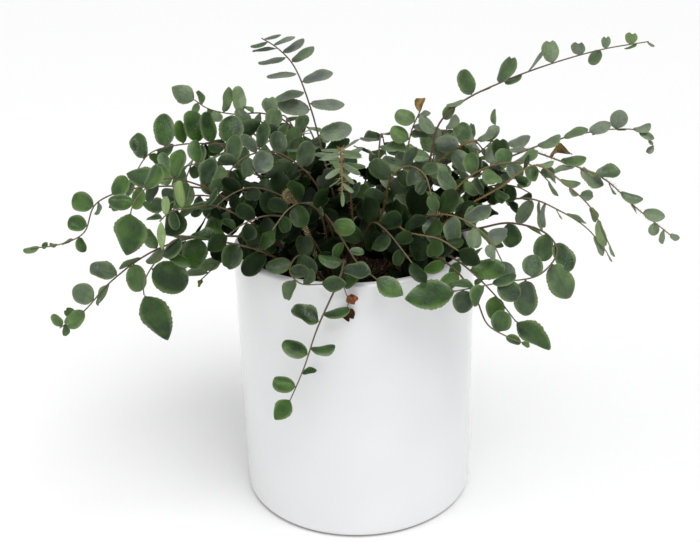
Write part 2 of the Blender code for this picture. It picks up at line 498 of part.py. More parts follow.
def tube_parts(line, radii, sides, keel=Vector((0.0, 0.0, -1.0))):
    """Points and faces of a closed tube along a line, with one of its edges on the keel side at the tip."""
    points = [None] * (len(line) * sides)
    across = keel
    for k in reversed(range(len(line))):
        before = Vector(line[max(k - 1, 0)])
        after = Vector(line[min(k + 1, len(line) - 1)])
        heading = (after - before).normalized()
        across = (across - heading * across.dot(heading)).normalized()
        third = heading.cross(across)
        for side in range(sides):
            turn = 2.0 * math.pi * side / sides
            point = Vector(line[k]) + (across * math.cos(turn) + third * math.sin(turn)) * radii[k]
            points[k * sides + side] = point
    faces = [tuple(reversed(range(sides)))]
    for ring in range(len(line) - 1):
        low, high = ring * sides, (ring + 1) * sides
        for side in range(sides):
            after = (side + 1) % sides
            faces.append((low + side, low + after, high + after, high + side))
    last = (len(line) - 1) * sides
    faces.append(tuple(range(last, last + sides)))
    return points, faces


def thinned(line, tolerance=STEM_BEND):
    """The points that a bent line needs to stay within a tolerance of itself."""
    if len(line) < 3:
        return [line[0], line[-1]]
    chord = line[-1] - line[0]
    offsets = line - line[0]
    unit = chord / max(np.linalg.norm(chord), 1e-9)
    distances = np.linalg.norm(offsets - np.outer(offsets @ unit, unit), axis=1)
    far = int(distances.argmax())
    if distances[far] <= tolerance:
        return [line[0], line[-1]]
    return thinned(line[:far + 1], tolerance)[:-1] + thinned(line[far:], tolerance)


def picture_hold(points, turned, swing):
    """The ways that a leaflet and its face point when it is given as seen from the front, a little above."""
    pitch = math.radians(VIEW_PITCH)
    upward = Vector((0.0, math.sin(pitch), math.cos(pitch)))
    to_viewer = Vector((0.0, -math.cos(pitch), math.sin(pitch)))
    along = Vector((1.0, 0.0, 0.0)) * math.cos(math.radians(points)) + upward * math.sin(math.radians(points))
    rise = along.cross(to_viewer)
    if rise.z < 0.0:
        rise = -rise
    along = along * math.cos(math.radians(swing)) + to_viewer * math.sin(math.radians(swing))
    return along, to_viewer * math.cos(math.radians(turned)) + rise * math.sin(math.radians(turned))


def leaf_face(frond, spot):
    """The direction that a leaflet's upper side turns to: given for the frond, or up and outward."""
    if frond.face is not None:
        return Vector(frond.face).normalized()
    outward = Vector((spot[0], spot[1], 0.0)).normalized()
    return (Vector((0.0, 0.0, FACE_UP)) + FACE_OUT * outward).normalized()


def leaf_places(frond, line):
    """Where leaflets leave a stem: index, distance, side, and share of the leafy length."""
    length = STEM_STEP * (len(line) - 1)
    if frond.name in HAND_LEAVES:
        return [(index, min(row[0] * length, length - TIP_SETBACK), 1, row[0])
                for index, row in enumerate(HAND_LEAVES[frond.name])]
    start = frond.bare * length
    spots = []
    distance = start
    side = 1
    while distance < length - LEAF_MARGIN * frond.leaf:
        share = (distance - start) / (length - start)
        spots.append((distance, side, share))
        distance += frond.pitch * (1.0 - PITCH_TAPER * share ** 2)
        side = -side
    spots.append((length - TIP_SETBACK, 0, 1.0))
    return [(index, *spot) for index, spot in enumerate(spots)]


def solid_places(frond, line):
    """The places that the solid fills: the tip and the larger leaflets laid by hand, or every other pair."""
    places = leaf_places(frond, line)
    if frond.name in HAND_LEAVES:
        kept = [place for place in places[:-1] if HAND_LEAVES[frond.name][place[0]][2] >= SOLID_LEAF_LEAST]
    else:
        kept = [place for place in places[:-1]
                if (len(places) - 2 - place[0]) % LEAVES_IN_A_RUN < LEAVES_KEPT_IN_A_RUN]
    return kept + places[-1:]


def leaflet_options(frond, line, place):
    """The ways a leaflet may be held, the natural one first, then turned and bent further away."""
    index, distance, side, share = place
    draw = random.Random(f"{SEED}-{frond.name}-leaflet-{index}")
    position = distance / STEM_STEP
    low = min(int(position), len(line) - 2)
    spot = Vector(line[low]).lerp(Vector(line[low + 1]), position - low)
    ahead = Vector(line[min(low + 2, len(line) - 1)])
    behind = Vector(line[max(low - 1, 0)])
    heading = (ahead - behind).normalized()
    if frond.name in HAND_LEAVES:
        _, points, size, turned_up, *own_width = HAND_LEAVES[frond.name][index]
        along, wanted = picture_hold(points, turned_up, draw.uniform(-SWING, SWING))
        plump = own_width[0] if own_width else frond.width
        yield from ways_to_hold(spot, heading, along, wanted, size * SEEN_SHORT, plump)
        return
    face = leaf_face(frond, spot)
    plane_normal = (face - heading * face.dot(heading)).normalized()
    aside = heading.cross(plane_normal)
    forward = math.radians(draw.uniform(*FORWARD) + FORWARD_MORE * share)
    lift = draw.uniform(-LIFT, LIFT)
    roll = draw.uniform(-ROLL, ROLL)
    size = frond.leaf * draw.uniform(*SIZE_SPREAD) * (1.0 - TIP_SHRINK * share ** TIP_POWER)
    plump = frond.width * draw.uniform(*WIDTH_SPREAD)
    if side == 0:
        along = heading
        size = frond.terminal
        lift = 0.0
    else:
        along = (aside * side * math.cos(forward) + heading * math.sin(forward)).normalized()
    wanted = ((1.0 - FACE_SHARE) * plane_normal + FACE_SHARE * face).normalized()
    yield from ways_to_hold(spot, heading, along, wanted, size, plump, side, lift, roll)


def ways_to_hold(spot, heading, along, wanted, size, plump, side=1, lift=0.0, roll=0.0):
    """One way to hold a leaflet after another: place, direction, face, length and width."""
    for extra_lift, extra_roll, shrink in HOLDS:
        turned = along.copy()
        turned.rotate(Matrix.Rotation(-side * math.radians(lift + extra_lift), 3, heading))
        normal = (wanted - turned * wanted.dot(turned)).normalized()
        normal.rotate(Matrix.Rotation(math.radians(roll + extra_roll), 3, turned))
        length = size * shrink
        yield spot, turned, normal, length, length * plump


def blade_parts(spot, along, normal, length, width, grow=0.0):
    """Points and faces of one leaflet: a flat plate, narrow where it joins the stem."""
    across = normal.cross(along)
    half = LEAF_THICKNESS / 2.0 + grow
    edge = [(x * length, y * width + grow) for x, y in LEAF_OUTLINE]
    outline = [(-grow, 0.0)] + edge + [(length + grow, 0.0)] + [(x, -y) for x, y in reversed(edge)]
    count = len(outline)
    points = [spot + along * x + across * y + normal * half for x, y in outline]
    points += [spot + along * x + across * y - normal * half for x, y in outline]
    faces = [tuple(reversed(range(count))), tuple(range(count, 2 * count))]
    for k in range(count):
        after = (k + 1) % count
        faces.append((k, after, count + after, count + k))
    return points, faces


def place_blades(fronds, lines, pot):
    """Places the leaflets, those laid by hand first, clear of the pot, the soil, the stems and each other."""
    around = Surroundings(fronds, lines, pot)
    kept = {frond.name: solid_places(frond, lines[frond.name]) for frond in fronds}
    by_hand = {f.name: leaf_places(f, lines[f.name])[::-1] for f in fronds if f.name in HAND_LEAVES}
    by_rule = {f.name: kept[f.name][::-1] for f in fronds if f.name not in HAND_LEAVES}
    placed = []
    for places in (by_hand, by_rule):
        placed += place_round(around, fronds, lines, places)
    return [blade for blade in placed if blade.index in [place[0] for place in kept[blade.frond]]]


def place_round(around, fronds, lines, chosen):
    """Places one round of leaflets from the tips inward, the fronds taking turns."""
    placed = []
    for turn in range(max(len(places) for places in chosen.values())):
        for frond in fronds:
            if frond.name in chosen and turn < len(chosen[frond.name]):
                place = chosen[frond.name][turn]
                placed += around.settle(frond, place, leaflet_options(frond, lines[frond.name], place))
    return placed


class Surroundings:
    """What a leaflet has to stay clear of: the pot, the soil, other stems and the leaflets placed so far."""

    def __init__(self, fronds, lines, pot):
        radius = STEM_BASE_RADIUS + STEM_BEND
        self.stems = {}
        for frond in fronds:
            line = lines[frond.name]
            tree = BVHTree.FromPolygons(*tube_parts(line, [radius] * len(line), CHECK_SIDES))
            self.stems[frond.name] = (tree, line.min(axis=0) - BOX_MARGIN, line.max(axis=0) + BOX_MARGIN)
        self.pot = BVHTree.FromPolygons([v.co / MM for v in pot.data.vertices],
                                        [tuple(p.vertices) for p in pot.data.polygons])
        self.leaflets = []

    def settle(self, frond, place, options):
        """Takes the first option that is clear, if there is one, and remembers it."""
        for option in options:
            spot, along, _, length, _ = option
            middle = spot + along * length * 0.5
            points, faces = blade_parts(*option, grow=LEAF_CLEARANCE)
            if self.is_clear(frond, points, faces, middle, length):
                self.leaflets.append((BVHTree.FromPolygons(*blade_parts(*option)), middle, length))
                return [Blade(frond.name, place[0], *option)]
        return []

    def is_clear(self, frond, points, faces, middle, length):
        """Whether a grown leaflet touches nothing but its own stem."""
        for point in points:
            if point.z < SOIL_TOP + TOUCH_GAP and math.hypot(point.x, point.y) < POT_RADIUS:
                return False
        tree = BVHTree.FromPolygons(points, faces)
        if tree.overlap(self.pot):
            return False
        low = np.min([tuple(point) for point in points], axis=0)
        high = np.max([tuple(point) for point in points], axis=0)
        for name, (stem, stem_low, stem_high) in self.stems.items():
            near = name != frond.name and np.all(high > stem_low) and np.all(low < stem_high)
            if near and tree.overlap(stem):
                return False
        for other, other_middle, other_length in self.leaflets:
            if (middle - other_middle).length < NEAR_SHARE * (length + other_length) and tree.overlap(other):
                return False
        return True


def build_frond(frond, line, blades, material):
    """One frond: the stem as a slim tube and its leaflets, joined in one solid."""
    root = np.array([line[0][0], line[0][1], SOIL_TOP - STEM_BURIED])
    rings = [root] + thinned(line)
    shares = np.linspace(0.0, 1.0, len(rings))
    radii = STEM_BASE_RADIUS + (STEM_TIP_RADIUS - STEM_BASE_RADIUS) * shares
    name = "frond_" + frond.name
    keel = -leaf_face(frond, line[-1])
    stem = add_object(name, mesh_from_points(name, *tube_parts(rings, radii, STEM_SIDES, keel)), material)
    group = bpy.data.collections.new("leaflets")
    bpy.context.scene.collection.children.link(group)
    leaflets = []
    for blade in blades:
        mesh = mesh_from_points("leaflet", *blade_parts(blade.at, blade.along, blade.normal, blade.length,
                                                        blade.width))
        leaflets.append(bpy.data.objects.new("leaflet", mesh))
        group.objects.link(leaflets[-1])
    join = stem.modifiers.new("join_leaflets", "BOOLEAN")
    join.operation = "UNION"
    join.operand_type = "COLLECTION"
    join.collection = group
    apply_modifiers(stem)
    for leaflet in leaflets:
        bpy.data.objects.remove(leaflet, do_unlink=True)
    bpy.data.collections.remove(group)
    drop_scraps(stem)
    return stem


def drop_scraps(thing):
    """Keeps the largest connected body of a joined mesh."""
    shape = bmesh.new()
    shape.from_mesh(thing.data)
    unseen = set(shape.verts)
    bodies = []
    while unseen:
        front = [unseen.pop()]
        body = set(front)
        while front:
            for edge in front.pop().link_edges:
                for vert in edge.verts:
                    if vert in unseen:
                        unseen.remove(vert)
                        body.add(vert)
                        front.append(vert)
        bodies.append(body)
    bodies.sort(key=len, reverse=True)
    scraps = [vert for body in bodies[1:] for vert in body]
    bmesh.ops.delete(shape, geom=scraps, context="VERTS")
    shape.to_mesh(thing.data)
    shape.free()
    if scraps:
        print("loose bodies dropped from", thing.name, len(bodies) - 1)


def main():
    """Builds the pot, the soil and every frond."""
    drop_everything()
    fronds = list(HAND_FRONDS) + rule_fronds()
    pot = build_pot()
    lines = lay_stems(fronds)
    build_soil([(line[0][0], line[0][1]) for line in lines.values()])
    blades = place_blades(fronds, lines, pot)
    green = finish_material("leaf_green", (0.045, 0.105, 0.045), 0.42)
    for frond in fronds:
        own = [blade for blade in blades if blade.frond == frond.name]
        build_frond(frond, lines[frond.name], own, green)
    print("fronds", len(fronds), "leaflets", len(blades))
    return fronds, lines, blades


FRONDS, LINES, BLADES = main()
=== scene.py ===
# %% [markdown]
# # Dressing a potted button fern
# The plain solids of this plant are a pot, its soil and some fifty fronds, each a slim stem with flat
# six-sided leaflets. This lesson keeps them where they are and gives each one its real surface: white glaze,
# peaty soil, wiry brown stems and leathery leaflets. The first step loads the solids as a fixed frame, and
# notes how large the whole object is before anything is added.

import json
import math
import random
from collections import namedtuple

import bmesh
import bpy
import numpy as np
from mathutils import Matrix, Vector, noise
from mathutils.bvhtree import BVHTree

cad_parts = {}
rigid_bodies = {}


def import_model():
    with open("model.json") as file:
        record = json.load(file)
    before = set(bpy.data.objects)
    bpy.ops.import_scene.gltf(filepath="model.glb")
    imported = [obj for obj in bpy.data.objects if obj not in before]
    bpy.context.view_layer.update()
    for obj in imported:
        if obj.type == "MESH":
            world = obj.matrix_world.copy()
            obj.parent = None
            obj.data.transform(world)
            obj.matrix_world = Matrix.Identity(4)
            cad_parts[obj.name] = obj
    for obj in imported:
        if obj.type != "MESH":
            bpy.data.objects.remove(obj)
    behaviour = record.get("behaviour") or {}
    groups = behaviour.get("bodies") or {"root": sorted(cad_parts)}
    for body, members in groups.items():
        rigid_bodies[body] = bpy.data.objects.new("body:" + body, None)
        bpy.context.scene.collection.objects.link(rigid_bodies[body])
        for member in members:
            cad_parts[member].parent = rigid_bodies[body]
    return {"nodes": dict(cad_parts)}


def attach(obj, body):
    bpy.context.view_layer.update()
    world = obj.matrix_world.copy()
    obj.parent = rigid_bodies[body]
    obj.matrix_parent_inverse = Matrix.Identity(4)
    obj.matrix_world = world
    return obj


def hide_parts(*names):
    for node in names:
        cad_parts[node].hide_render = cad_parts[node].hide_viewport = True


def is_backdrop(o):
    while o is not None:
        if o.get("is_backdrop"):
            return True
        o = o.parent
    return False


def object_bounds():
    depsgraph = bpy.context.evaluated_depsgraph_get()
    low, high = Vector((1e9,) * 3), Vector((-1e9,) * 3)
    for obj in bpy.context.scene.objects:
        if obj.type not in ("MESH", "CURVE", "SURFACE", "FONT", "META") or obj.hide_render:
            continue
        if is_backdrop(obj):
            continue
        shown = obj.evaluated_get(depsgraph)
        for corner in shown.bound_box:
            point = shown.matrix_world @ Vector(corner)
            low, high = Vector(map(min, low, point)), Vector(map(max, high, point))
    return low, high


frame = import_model()
cad_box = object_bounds()
scene = bpy.context.scene
MM = 0.001


def put(name, data):
    """A new object in the scene, at the origin."""
    made = bpy.data.objects.new(name, data)
    scene.collection.objects.link(made)
    return made


print("nodes in the frame:", len(frame["nodes"]), "box:",
      [[round(v, 4) for v in corner] for corner in cad_box])

# %% [markdown]
# ## The camera
# The plant is seen with a normal lens, from a little above. The camera's place, its tilt and its slight roll
# were worked out from the ellipses of the pot's rim and foot. Building the camera's own axes as vectors is
# the surest way to set all three turns at once.

# %% Camera
FRAME_PIXELS = 700
FOCAL_PIXELS = 1000.0
SENSOR = 36.0
CAMERA_PLACE = Vector((-2.31, -487.7, 324.0)) * MM
CAMERA_PITCH = math.radians(22.323)
CAMERA_ROLL = math.radians(-1.454)

looking = Vector((0.0, math.cos(CAMERA_PITCH), -math.sin(CAMERA_PITCH)))
level = Vector((1.0, 0.0, 0.0))
upward = level.cross(looking)
camera_right = math.cos(CAMERA_ROLL) * level + math.sin(CAMERA_ROLL) * upward
camera_up = math.cos(CAMERA_ROLL) * upward - math.sin(CAMERA_ROLL) * level

camera_data = bpy.data.cameras.new("camera")
camera_data.sensor_width = SENSOR
camera_data.lens = FOCAL_PIXELS / FRAME_PIXELS * SENSOR
camera = put("camera", camera_data)
turn = Matrix((camera_right, camera_up, -looking)).transposed().to_4x4()
camera.matrix_world = Matrix.Translation(CAMERA_PLACE) @ turn
scene.camera = camera
print("lens:", round(camera_data.lens, 2), "mm, distance to the pot:", round(CAMERA_PLACE.length, 3), "m")

# %% [markdown]
# ## Helpers for materials
# Every finish here is a Principled shader fed by a few procedural nodes. Adding a node, setting it and wiring
# it in one call keeps each recipe short enough to read. A value that is the same all over a surface is set on
# the shader itself, because a wired constant is lost when the model is exported.

# %% Material helpers
def new_finish(name, roughness, **constants):
    """A material with its node tree and shader, and the shader's plain values set."""
    material = bpy.data.materials.new(name)
    material.use_nodes = True
    shader = material.node_tree.nodes["Principled BSDF"]
    shader.inputs["Roughness"].default_value = roughness
    for socket, value in constants.items():
        shader.inputs[socket.replace("_", " ")].default_value = value
    return material, material.node_tree, shader


def add(tree, kind, inputs=None, **settings):
    """Adds a node; an input may be a value or the output socket that feeds it."""
    made = tree.nodes.new(kind)
    for name, value in settings.items():
        setattr(made, name, value)
    for name, value in (inputs or {}).items():
        if isinstance(value, bpy.types.NodeSocket):
            tree.links.new(value, made.inputs[name])
        else:
            made.inputs[name].default_value = value
    return made


def ramp(tree, factor, stops):
    """A colour ramp through (position, colour) stops."""
    made = add(tree, "ShaderNodeValToRGB", {"Fac": factor})
    elements = made.color_ramp.elements
    while len(elements) < len(stops):
        elements.new(0.5)
    for element, (position, colour) in zip(elements, stops):
        element.position = position
        element.color = (*colour, 1.0)
    return made.outputs["Color"]


def work_out(tree, operation, first, second=0.0):
    """One math node of one or two values."""
    return add(tree, "ShaderNodeMath", {0: first, 1: second}, operation=operation).outputs[0]


def plus(tree, first, second):
    """The sum of two values."""
    return work_out(tree, "ADD", first, second)


def times(tree, first, second):
    """The product of two values."""
    return work_out(tree, "MULTIPLY", first, second)


def blend_colours(tree, factor, first, second, how="MIX"):
    """One mix node; its colour sockets have numbers here, as their names are shared."""
    return add(tree, "ShaderNodeMix", {0: factor, 6: first, 7: second}, data_type="RGBA",
               blend_type=how).outputs[2]


def object_noise(tree, scale, detail=3.0, roughness=0.55):
    """Noise on the object's own coordinates, in waves per metre."""
    place = add(tree, "ShaderNodeTexCoord").outputs["Object"]
    return add(tree, "ShaderNodeTexNoise", {"Vector": place, "Scale": scale, "Detail": detail,
                                            "Roughness": roughness}).outputs["Fac"]


def raised(tree, shader, height, strength, distance):
    """Gives a surface fine relief from a height, and returns the bent normal."""
    bump = add(tree, "ShaderNodeBump", {"Height": height, "Strength": strength, "Distance": distance})
    tree.links.new(bump.outputs["Normal"], shader.inputs["Normal"])
    return bump.outputs["Normal"]


print("material helpers ready")

# %% [markdown]
# ## The floor and the light
# The plant stands in a bright, nearly white room. One wide pale floor and a bright sky, a little darker on
# the right, give that look from every side, and two tall lamps, like windows, put the long pale reflections
# on the pot. Large lamps are used rather than small bright ones because the shadows of a white room have no
# hard edge.

# %% Floor and light
FLOOR_HALF = 6.0
FLOOR_PALE = 0.91
ROOM_STRENGTH = 0.70

floor_mesh = bpy.data.meshes.new("floor")
corners = [(FLOOR_HALF * x, FLOOR_HALF * y, 0.0) for x, y in ((-1, -1), (1, -1), (1, 1), (-1, 1))]
floor_mesh.from_pydata(corners, [], [(0, 1, 2, 3)])
floor_paint, _, _ = new_finish("floor_paint", 0.6, Base_Color=(FLOOR_PALE, FLOOR_PALE, FLOOR_PALE, 1.0))
floor_mesh.materials.append(floor_paint)
floor = put("floor", floor_mesh)
floor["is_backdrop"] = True

world = bpy.data.worlds.new("white_room")
world.use_nodes = True
sky = world.node_tree
direction = add(sky, "ShaderNodeSeparateXYZ", {0: add(sky, "ShaderNodeTexCoord").outputs["Generated"]})
room = ramp(sky, direction.outputs["X"], [(0.1, (1.0, 1.0, 1.0)), (1.0, (0.80, 0.81, 0.82))])
sky.links.new(room, sky.nodes["Background"].inputs["Color"])
sky.nodes["Background"].inputs["Strength"].default_value = ROOM_STRENGTH
scene.world = world
scene.view_settings.view_transform = "Standard"
print("floor width:", 2 * FLOOR_HALF, "m, room nodes:", len(sky.nodes))

# %% Lamps
LAMP_AIM = Vector((0.0, 0.0, 0.12))

# Each window: its place, its width and height, and its power in watts.
WINDOWS = {
    "window_left": ((-1.2, -0.5, 0.7), (0.5, 1.3), 2.1),
    "window_right": ((0.45, -1.25, 0.75), (0.5, 1.2), 1.3),
}
SKYLIGHT_STRENGTH = 1.55
SKYLIGHT_ANGLE = math.radians(38.0)
SKYLIGHT_DIRECTION = (-0.30, 0.45, -1.0)


def new_lamp(name, kind, power, direction, **settings):
    """A lamp that shines in a direction."""
    data = bpy.data.lights.new(name, kind)
    data.energy = power
    for setting, value in settings.items():
        setattr(data, setting, value)
    lamp = put(name, data)
    lamp.rotation_euler = Vector(direction).to_track_quat("-Z", "Y").to_euler()
    return lamp


for name, (place, (width, height), power) in WINDOWS.items():
    window = new_lamp(name, "AREA", power, LAMP_AIM - Vector(place), shape="RECTANGLE", size=width,
                      size_y=height)
    window.location = place
new_lamp("skylight", "SUN", SKYLIGHT_STRENGTH, SKYLIGHT_DIRECTION, angle=SKYLIGHT_ANGLE)
print("lamps:", [o.name for o in scene.objects if o.type == "LIGHT"])

# %% [markdown]
# ## The glaze
# A cast cylinder is dipped or sprayed with opaque white glaze. It is glassy and very slightly wavy, so
# reflections in it bend a little, and it thins and warms where it leaves the foot, which is wiped clean
# before firing. A coat over a white base gives the two layers, and a slow noise in the bump gives the waves.

# %% Glaze material
POT_FOOT_BARE = 0.0012

glaze, tree, shader = new_finish("white_glaze", 0.18, Coat_Weight=0.4, Coat_Roughness=0.05, IOR=1.5)
position = add(tree, "ShaderNodeTexCoord").outputs["Object"]
height = add(tree, "ShaderNodeSeparateXYZ", {0: position}).outputs["Z"]
cloud = object_noise(tree, 14.0, 2.0)
white = ramp(tree, cloud, [(0.3, (0.715, 0.722, 0.730)), (0.7, (0.765, 0.772, 0.778))])
bare = work_out(tree, "LESS_THAN", height, POT_FOOT_BARE)
tree.links.new(blend_colours(tree, bare, white, (0.34, 0.31, 0.28, 1.0)), shader.inputs["Base Color"])
waves = object_noise(tree, 22.0, 1.0)
pits = object_noise(tree, 900.0, 2.0)
raised(tree, shader, plus(tree, waves, times(tree, pits, 0.02)), 0.12, 0.002)
print("glaze nodes:", len(tree.nodes))

# %% [markdown]
# ## The pot
# The pot is a straight cylinder with a small rounded edge at the foot and a rounded lip. It is turned from
# its section, as on a wheel: a list of radii and heights is swept round the axis in many small steps. The
# section comes from the same few sizes as the solid, so the fine pot fills the solid's place exactly.

# %% Pot
POT_RADIUS = 62.5
POT_HEIGHT = 142.0
POT_WALL = 5.0
POT_FLOOR = 6.0
POT_FOOT_ROUND = 4.0
POT_RIM_ROUND = 1.6
POT_FOOT_RING = 6.0
POT_TURNS = 128
WALL_STEPS = 10


def quarter_round(centre_r, centre_z, radius, start, steps=6):
    """Points on a quarter circle of a section, from a starting angle in degrees, turning left."""
    angles = [math.radians(start + 90.0 * k / steps) for k in range(steps + 1)]
    return [(centre_r + radius * math.cos(a), centre_z + radius * math.sin(a)) for a in angles]


def circle(radius, turns):
    """Points evenly round a circle, as (x, y)."""
    angles = [2 * math.pi * k / turns for k in range(turns)]
    return [(radius * math.cos(angle), radius * math.sin(angle)) for angle in angles]


def tube_faces(rings, sides):
    """The faces that join rings of points into a tube, closed by a disc at each end."""
    faces = [tuple(reversed(range(sides)))]
    for low in range(0, (rings - 1) * sides, sides):
        high = low + sides
        faces += [(low + k, low + (k + 1) % sides, high + (k + 1) % sides, high + k) for k in range(sides)]
    faces.append(tuple(range((rings - 1) * sides, rings * sides)))
    return faces


def turned(name, section, turns, material):
    """Turns a section of (radius, height) points in mm round the Z axis, closed by a disc at each end."""
    points = [(x, y, z) for radius, z in section for x, y in circle(radius, turns)]
    return new_piece(name, points, tube_faces(len(section), turns), material)


def triangle_count(piece):
    """How many triangles a piece has once its faces are cut."""
    return sum(len(face.vertices) - 2 for face in piece.data.polygons)


def new_piece(name, points, faces, material):
    """An object at the origin whose mesh holds its place, given in millimetres."""
    mesh = bpy.data.meshes.new(name)
    mesh.from_pydata([Vector(point) * MM for point in points], [], faces)
    mesh.materials.append(material)
    mesh.shade_smooth()
    return put(name, mesh)


inside = POT_RADIUS - POT_WALL
wall_rise = POT_HEIGHT - POT_RIM_ROUND - POT_FOOT_ROUND
wall_heights = [POT_FOOT_ROUND + wall_rise * k / WALL_STEPS for k in range(1, WALL_STEPS)]
section = [(POT_RADIUS - POT_FOOT_ROUND - POT_FOOT_RING, 0.0)]
section += quarter_round(POT_RADIUS - POT_FOOT_ROUND, POT_FOOT_ROUND, POT_FOOT_ROUND, -90.0)
section += [(POT_RADIUS, z) for z in wall_heights]
section += quarter_round(POT_RADIUS - POT_RIM_ROUND, POT_HEIGHT - POT_RIM_ROUND, POT_RIM_ROUND, 0.0)
section += quarter_round(inside + POT_RIM_ROUND, POT_HEIGHT - POT_RIM_ROUND, POT_RIM_ROUND, 90.0)
section += [(inside, POT_FLOOR)]
pot = turned("pot_glazed", section, POT_TURNS, glaze)
pot.data.set_sharp_from_angle(angle=math.radians(60.0))
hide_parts("pot")
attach(pot, "root")
print("pot triangles:", triangle_count(pot))

# %% [markdown]
# ## The soil
# House plants are sold in a peaty mix: dark and fibrous, with crumbs of every size. The bed is a disc of
# rings whose top is crowned and uneven, closed by a wall and a floor, because the piece stands in for a
# solid. The material needs only one noise, which drives both the colour of the grains and their relief.

# %% Soil material and bed
TOUCH_GAP = 0.3
SOIL_RADIUS = POT_RADIUS - POT_WALL - TOUCH_GAP
SOIL_BOTTOM = POT_FLOOR + TOUCH_GAP
SOIL_TOP = 124.0
SOIL_EDGE = 121.0
SOIL_CROWN_RADIUS = 46.0
SOIL_RINGS = 26
SOIL_TURNS = 72
SOIL_DROP = 1.0
SOIL_UNEVEN = 0.9
SOIL_WAVES_PER_MM = 0.13
SOIL_FRACTAL = (0.8, 2.0, 4)

peat, tree, shader = new_finish("peaty_soil", 0.95, Specular_IOR_Level=0.2)
grains = object_noise(tree, 900.0, 6.0, 0.7)
tree.links.new(ramp(tree, grains, [(0.3, (0.010, 0.007, 0.005)), (0.52, (0.028, 0.018, 0.012)),
                                   (0.75, (0.075, 0.048, 0.030))]), shader.inputs["Base Color"])
raised(tree, shader, grains, 0.8, 0.0008)


def soil_height(x, y):
    """The height of the bed: a low crown a little under the solid's, roughened by noise."""
    reach = math.hypot(x, y)
    slope = max(0.0, reach - SOIL_CROWN_RADIUS) / (SOIL_RADIUS - SOIL_CROWN_RADIUS)
    rough = noise.fractal(Vector((x, y, 0.0)) * SOIL_WAVES_PER_MM, *SOIL_FRACTAL) * SOIL_UNEVEN
    return SOIL_TOP - SOIL_DROP - slope * (SOIL_TOP - SOIL_EDGE) + rough


bed_points = [(0.0, 0.0, soil_height(0.0, 0.0))]
for ring in range(1, SOIL_RINGS + 1):
    reach = SOIL_RADIUS * ring / SOIL_RINGS
    bed_points += [(x, y, soil_height(x, y)) for x, y in circle(reach, SOIL_TURNS)]
bed_points += [(x, y, SOIL_BOTTOM) for x, y in circle(SOIL_RADIUS, SOIL_TURNS)]
bed_faces = [(0, 1 + k, 1 + (k + 1) % SOIL_TURNS) for k in range(SOIL_TURNS)]
for ring in range(SOIL_RINGS):
    low, high = 1 + ring * SOIL_TURNS, 1 + (ring + 1) * SOIL_TURNS
    bed_faces += [(low + k, high + k, high + (k + 1) % SOIL_TURNS, low + (k + 1) % SOIL_TURNS)
                  for k in range(SOIL_TURNS)]
bed_faces.append(tuple(reversed(range(high, high + SOIL_TURNS))))
bed = new_piece("soil_bed", bed_points, bed_faces, peat)
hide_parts("soil")
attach(bed, "root")
print("soil bed faces:", len(bed_faces))

# %% [markdown]
# ## Node trees as tools
# A node tree is built once, with named inputs, and then used like a tool by any object. These helpers make a
# tree with its inputs, put it on an object with the values given by name, and turn the evaluated result into
# a plain mesh, because only plain meshes are exported.

# %% Geometry Nodes helpers
def new_tree(name, inputs):
    """A geometry tree with named inputs, given as name: (socket type, default)."""
    tree = bpy.data.node_groups.new(name, "GeometryNodeTree")
    tree.interface.new_socket("Geometry", in_out="INPUT", socket_type="NodeSocketGeometry")
    tree.interface.new_socket("Geometry", in_out="OUTPUT", socket_type="NodeSocketGeometry")
    for label, (kind, default) in inputs.items():
        socket = tree.interface.new_socket(label, in_out="INPUT", socket_type=kind)
        if default is not None:
            socket.default_value = default
    return tree, tree.nodes.new("NodeGroupInput"), tree.nodes.new("NodeGroupOutput")


def run_tree(piece, tree, values):
    """Puts a tree on an object with its inputs set by identifier, and keeps the result as a plain mesh."""
    modifier = piece.modifiers.new(tree.name, "NODES")
    modifier.node_group = tree
    for item in tree.interface.items_tree:
        if item.item_type == "SOCKET" and item.in_out == "INPUT" and item.name in values:
            modifier[item.identifier] = values[item.name]
    graph = bpy.context.evaluated_depsgraph_get()
    result = bpy.data.meshes.new_from_object(piece.evaluated_get(graph), depsgraph=graph)
    piece.modifiers.remove(modifier)
    old = piece.data
    piece.data = result
    bpy.data.meshes.remove(old)
    return piece


def made_real(tree, placed, material):
    """The end of a branch: its instances become real mesh and get their material."""
    real = add(tree, "GeometryNodeRealizeInstances", {"Geometry": placed.outputs["Instances"]})
    dressed = add(tree, "GeometryNodeSetMaterial", {"Geometry": real.outputs["Geometry"],
                                                    "Material": material})
    return dressed.outputs["Geometry"]


print("node tree helpers ready")

# %% [markdown]
# ## Crumbs on the soil
# Loose crumbs lie on the bed, small ones far more often than large. They repeat, so a node tree scatters
# them: points are spread over the bed, a crumb is put on each, turned and sized at random, and all are made
# real mesh at the end. Cubing the chance that sets the size makes most of them small.

# %% Crumbs on the soil
CRUMB_COUNT = 1500
CRUMB_SIZE = (0.0005, 0.0017)
CRUMB_DENTS = 0.35
CRUMB_WAVES = 1.7
CRUMB_FLATNESS = 0.7


def crumb_shape():
    """One crumb: a low ball with its points pushed in and out."""
    shape = bmesh.new()
    bmesh.ops.create_icosphere(shape, subdivisions=1, radius=1.0)
    for vert in shape.verts:
        vert.co *= 1.0 + CRUMB_DENTS * noise.noise(vert.co * CRUMB_WAVES)
        vert.co.z *= CRUMB_FLATNESS
    mesh = bpy.data.meshes.new("crumb")
    shape.to_mesh(mesh)
    shape.free()
    return put("crumb", mesh)


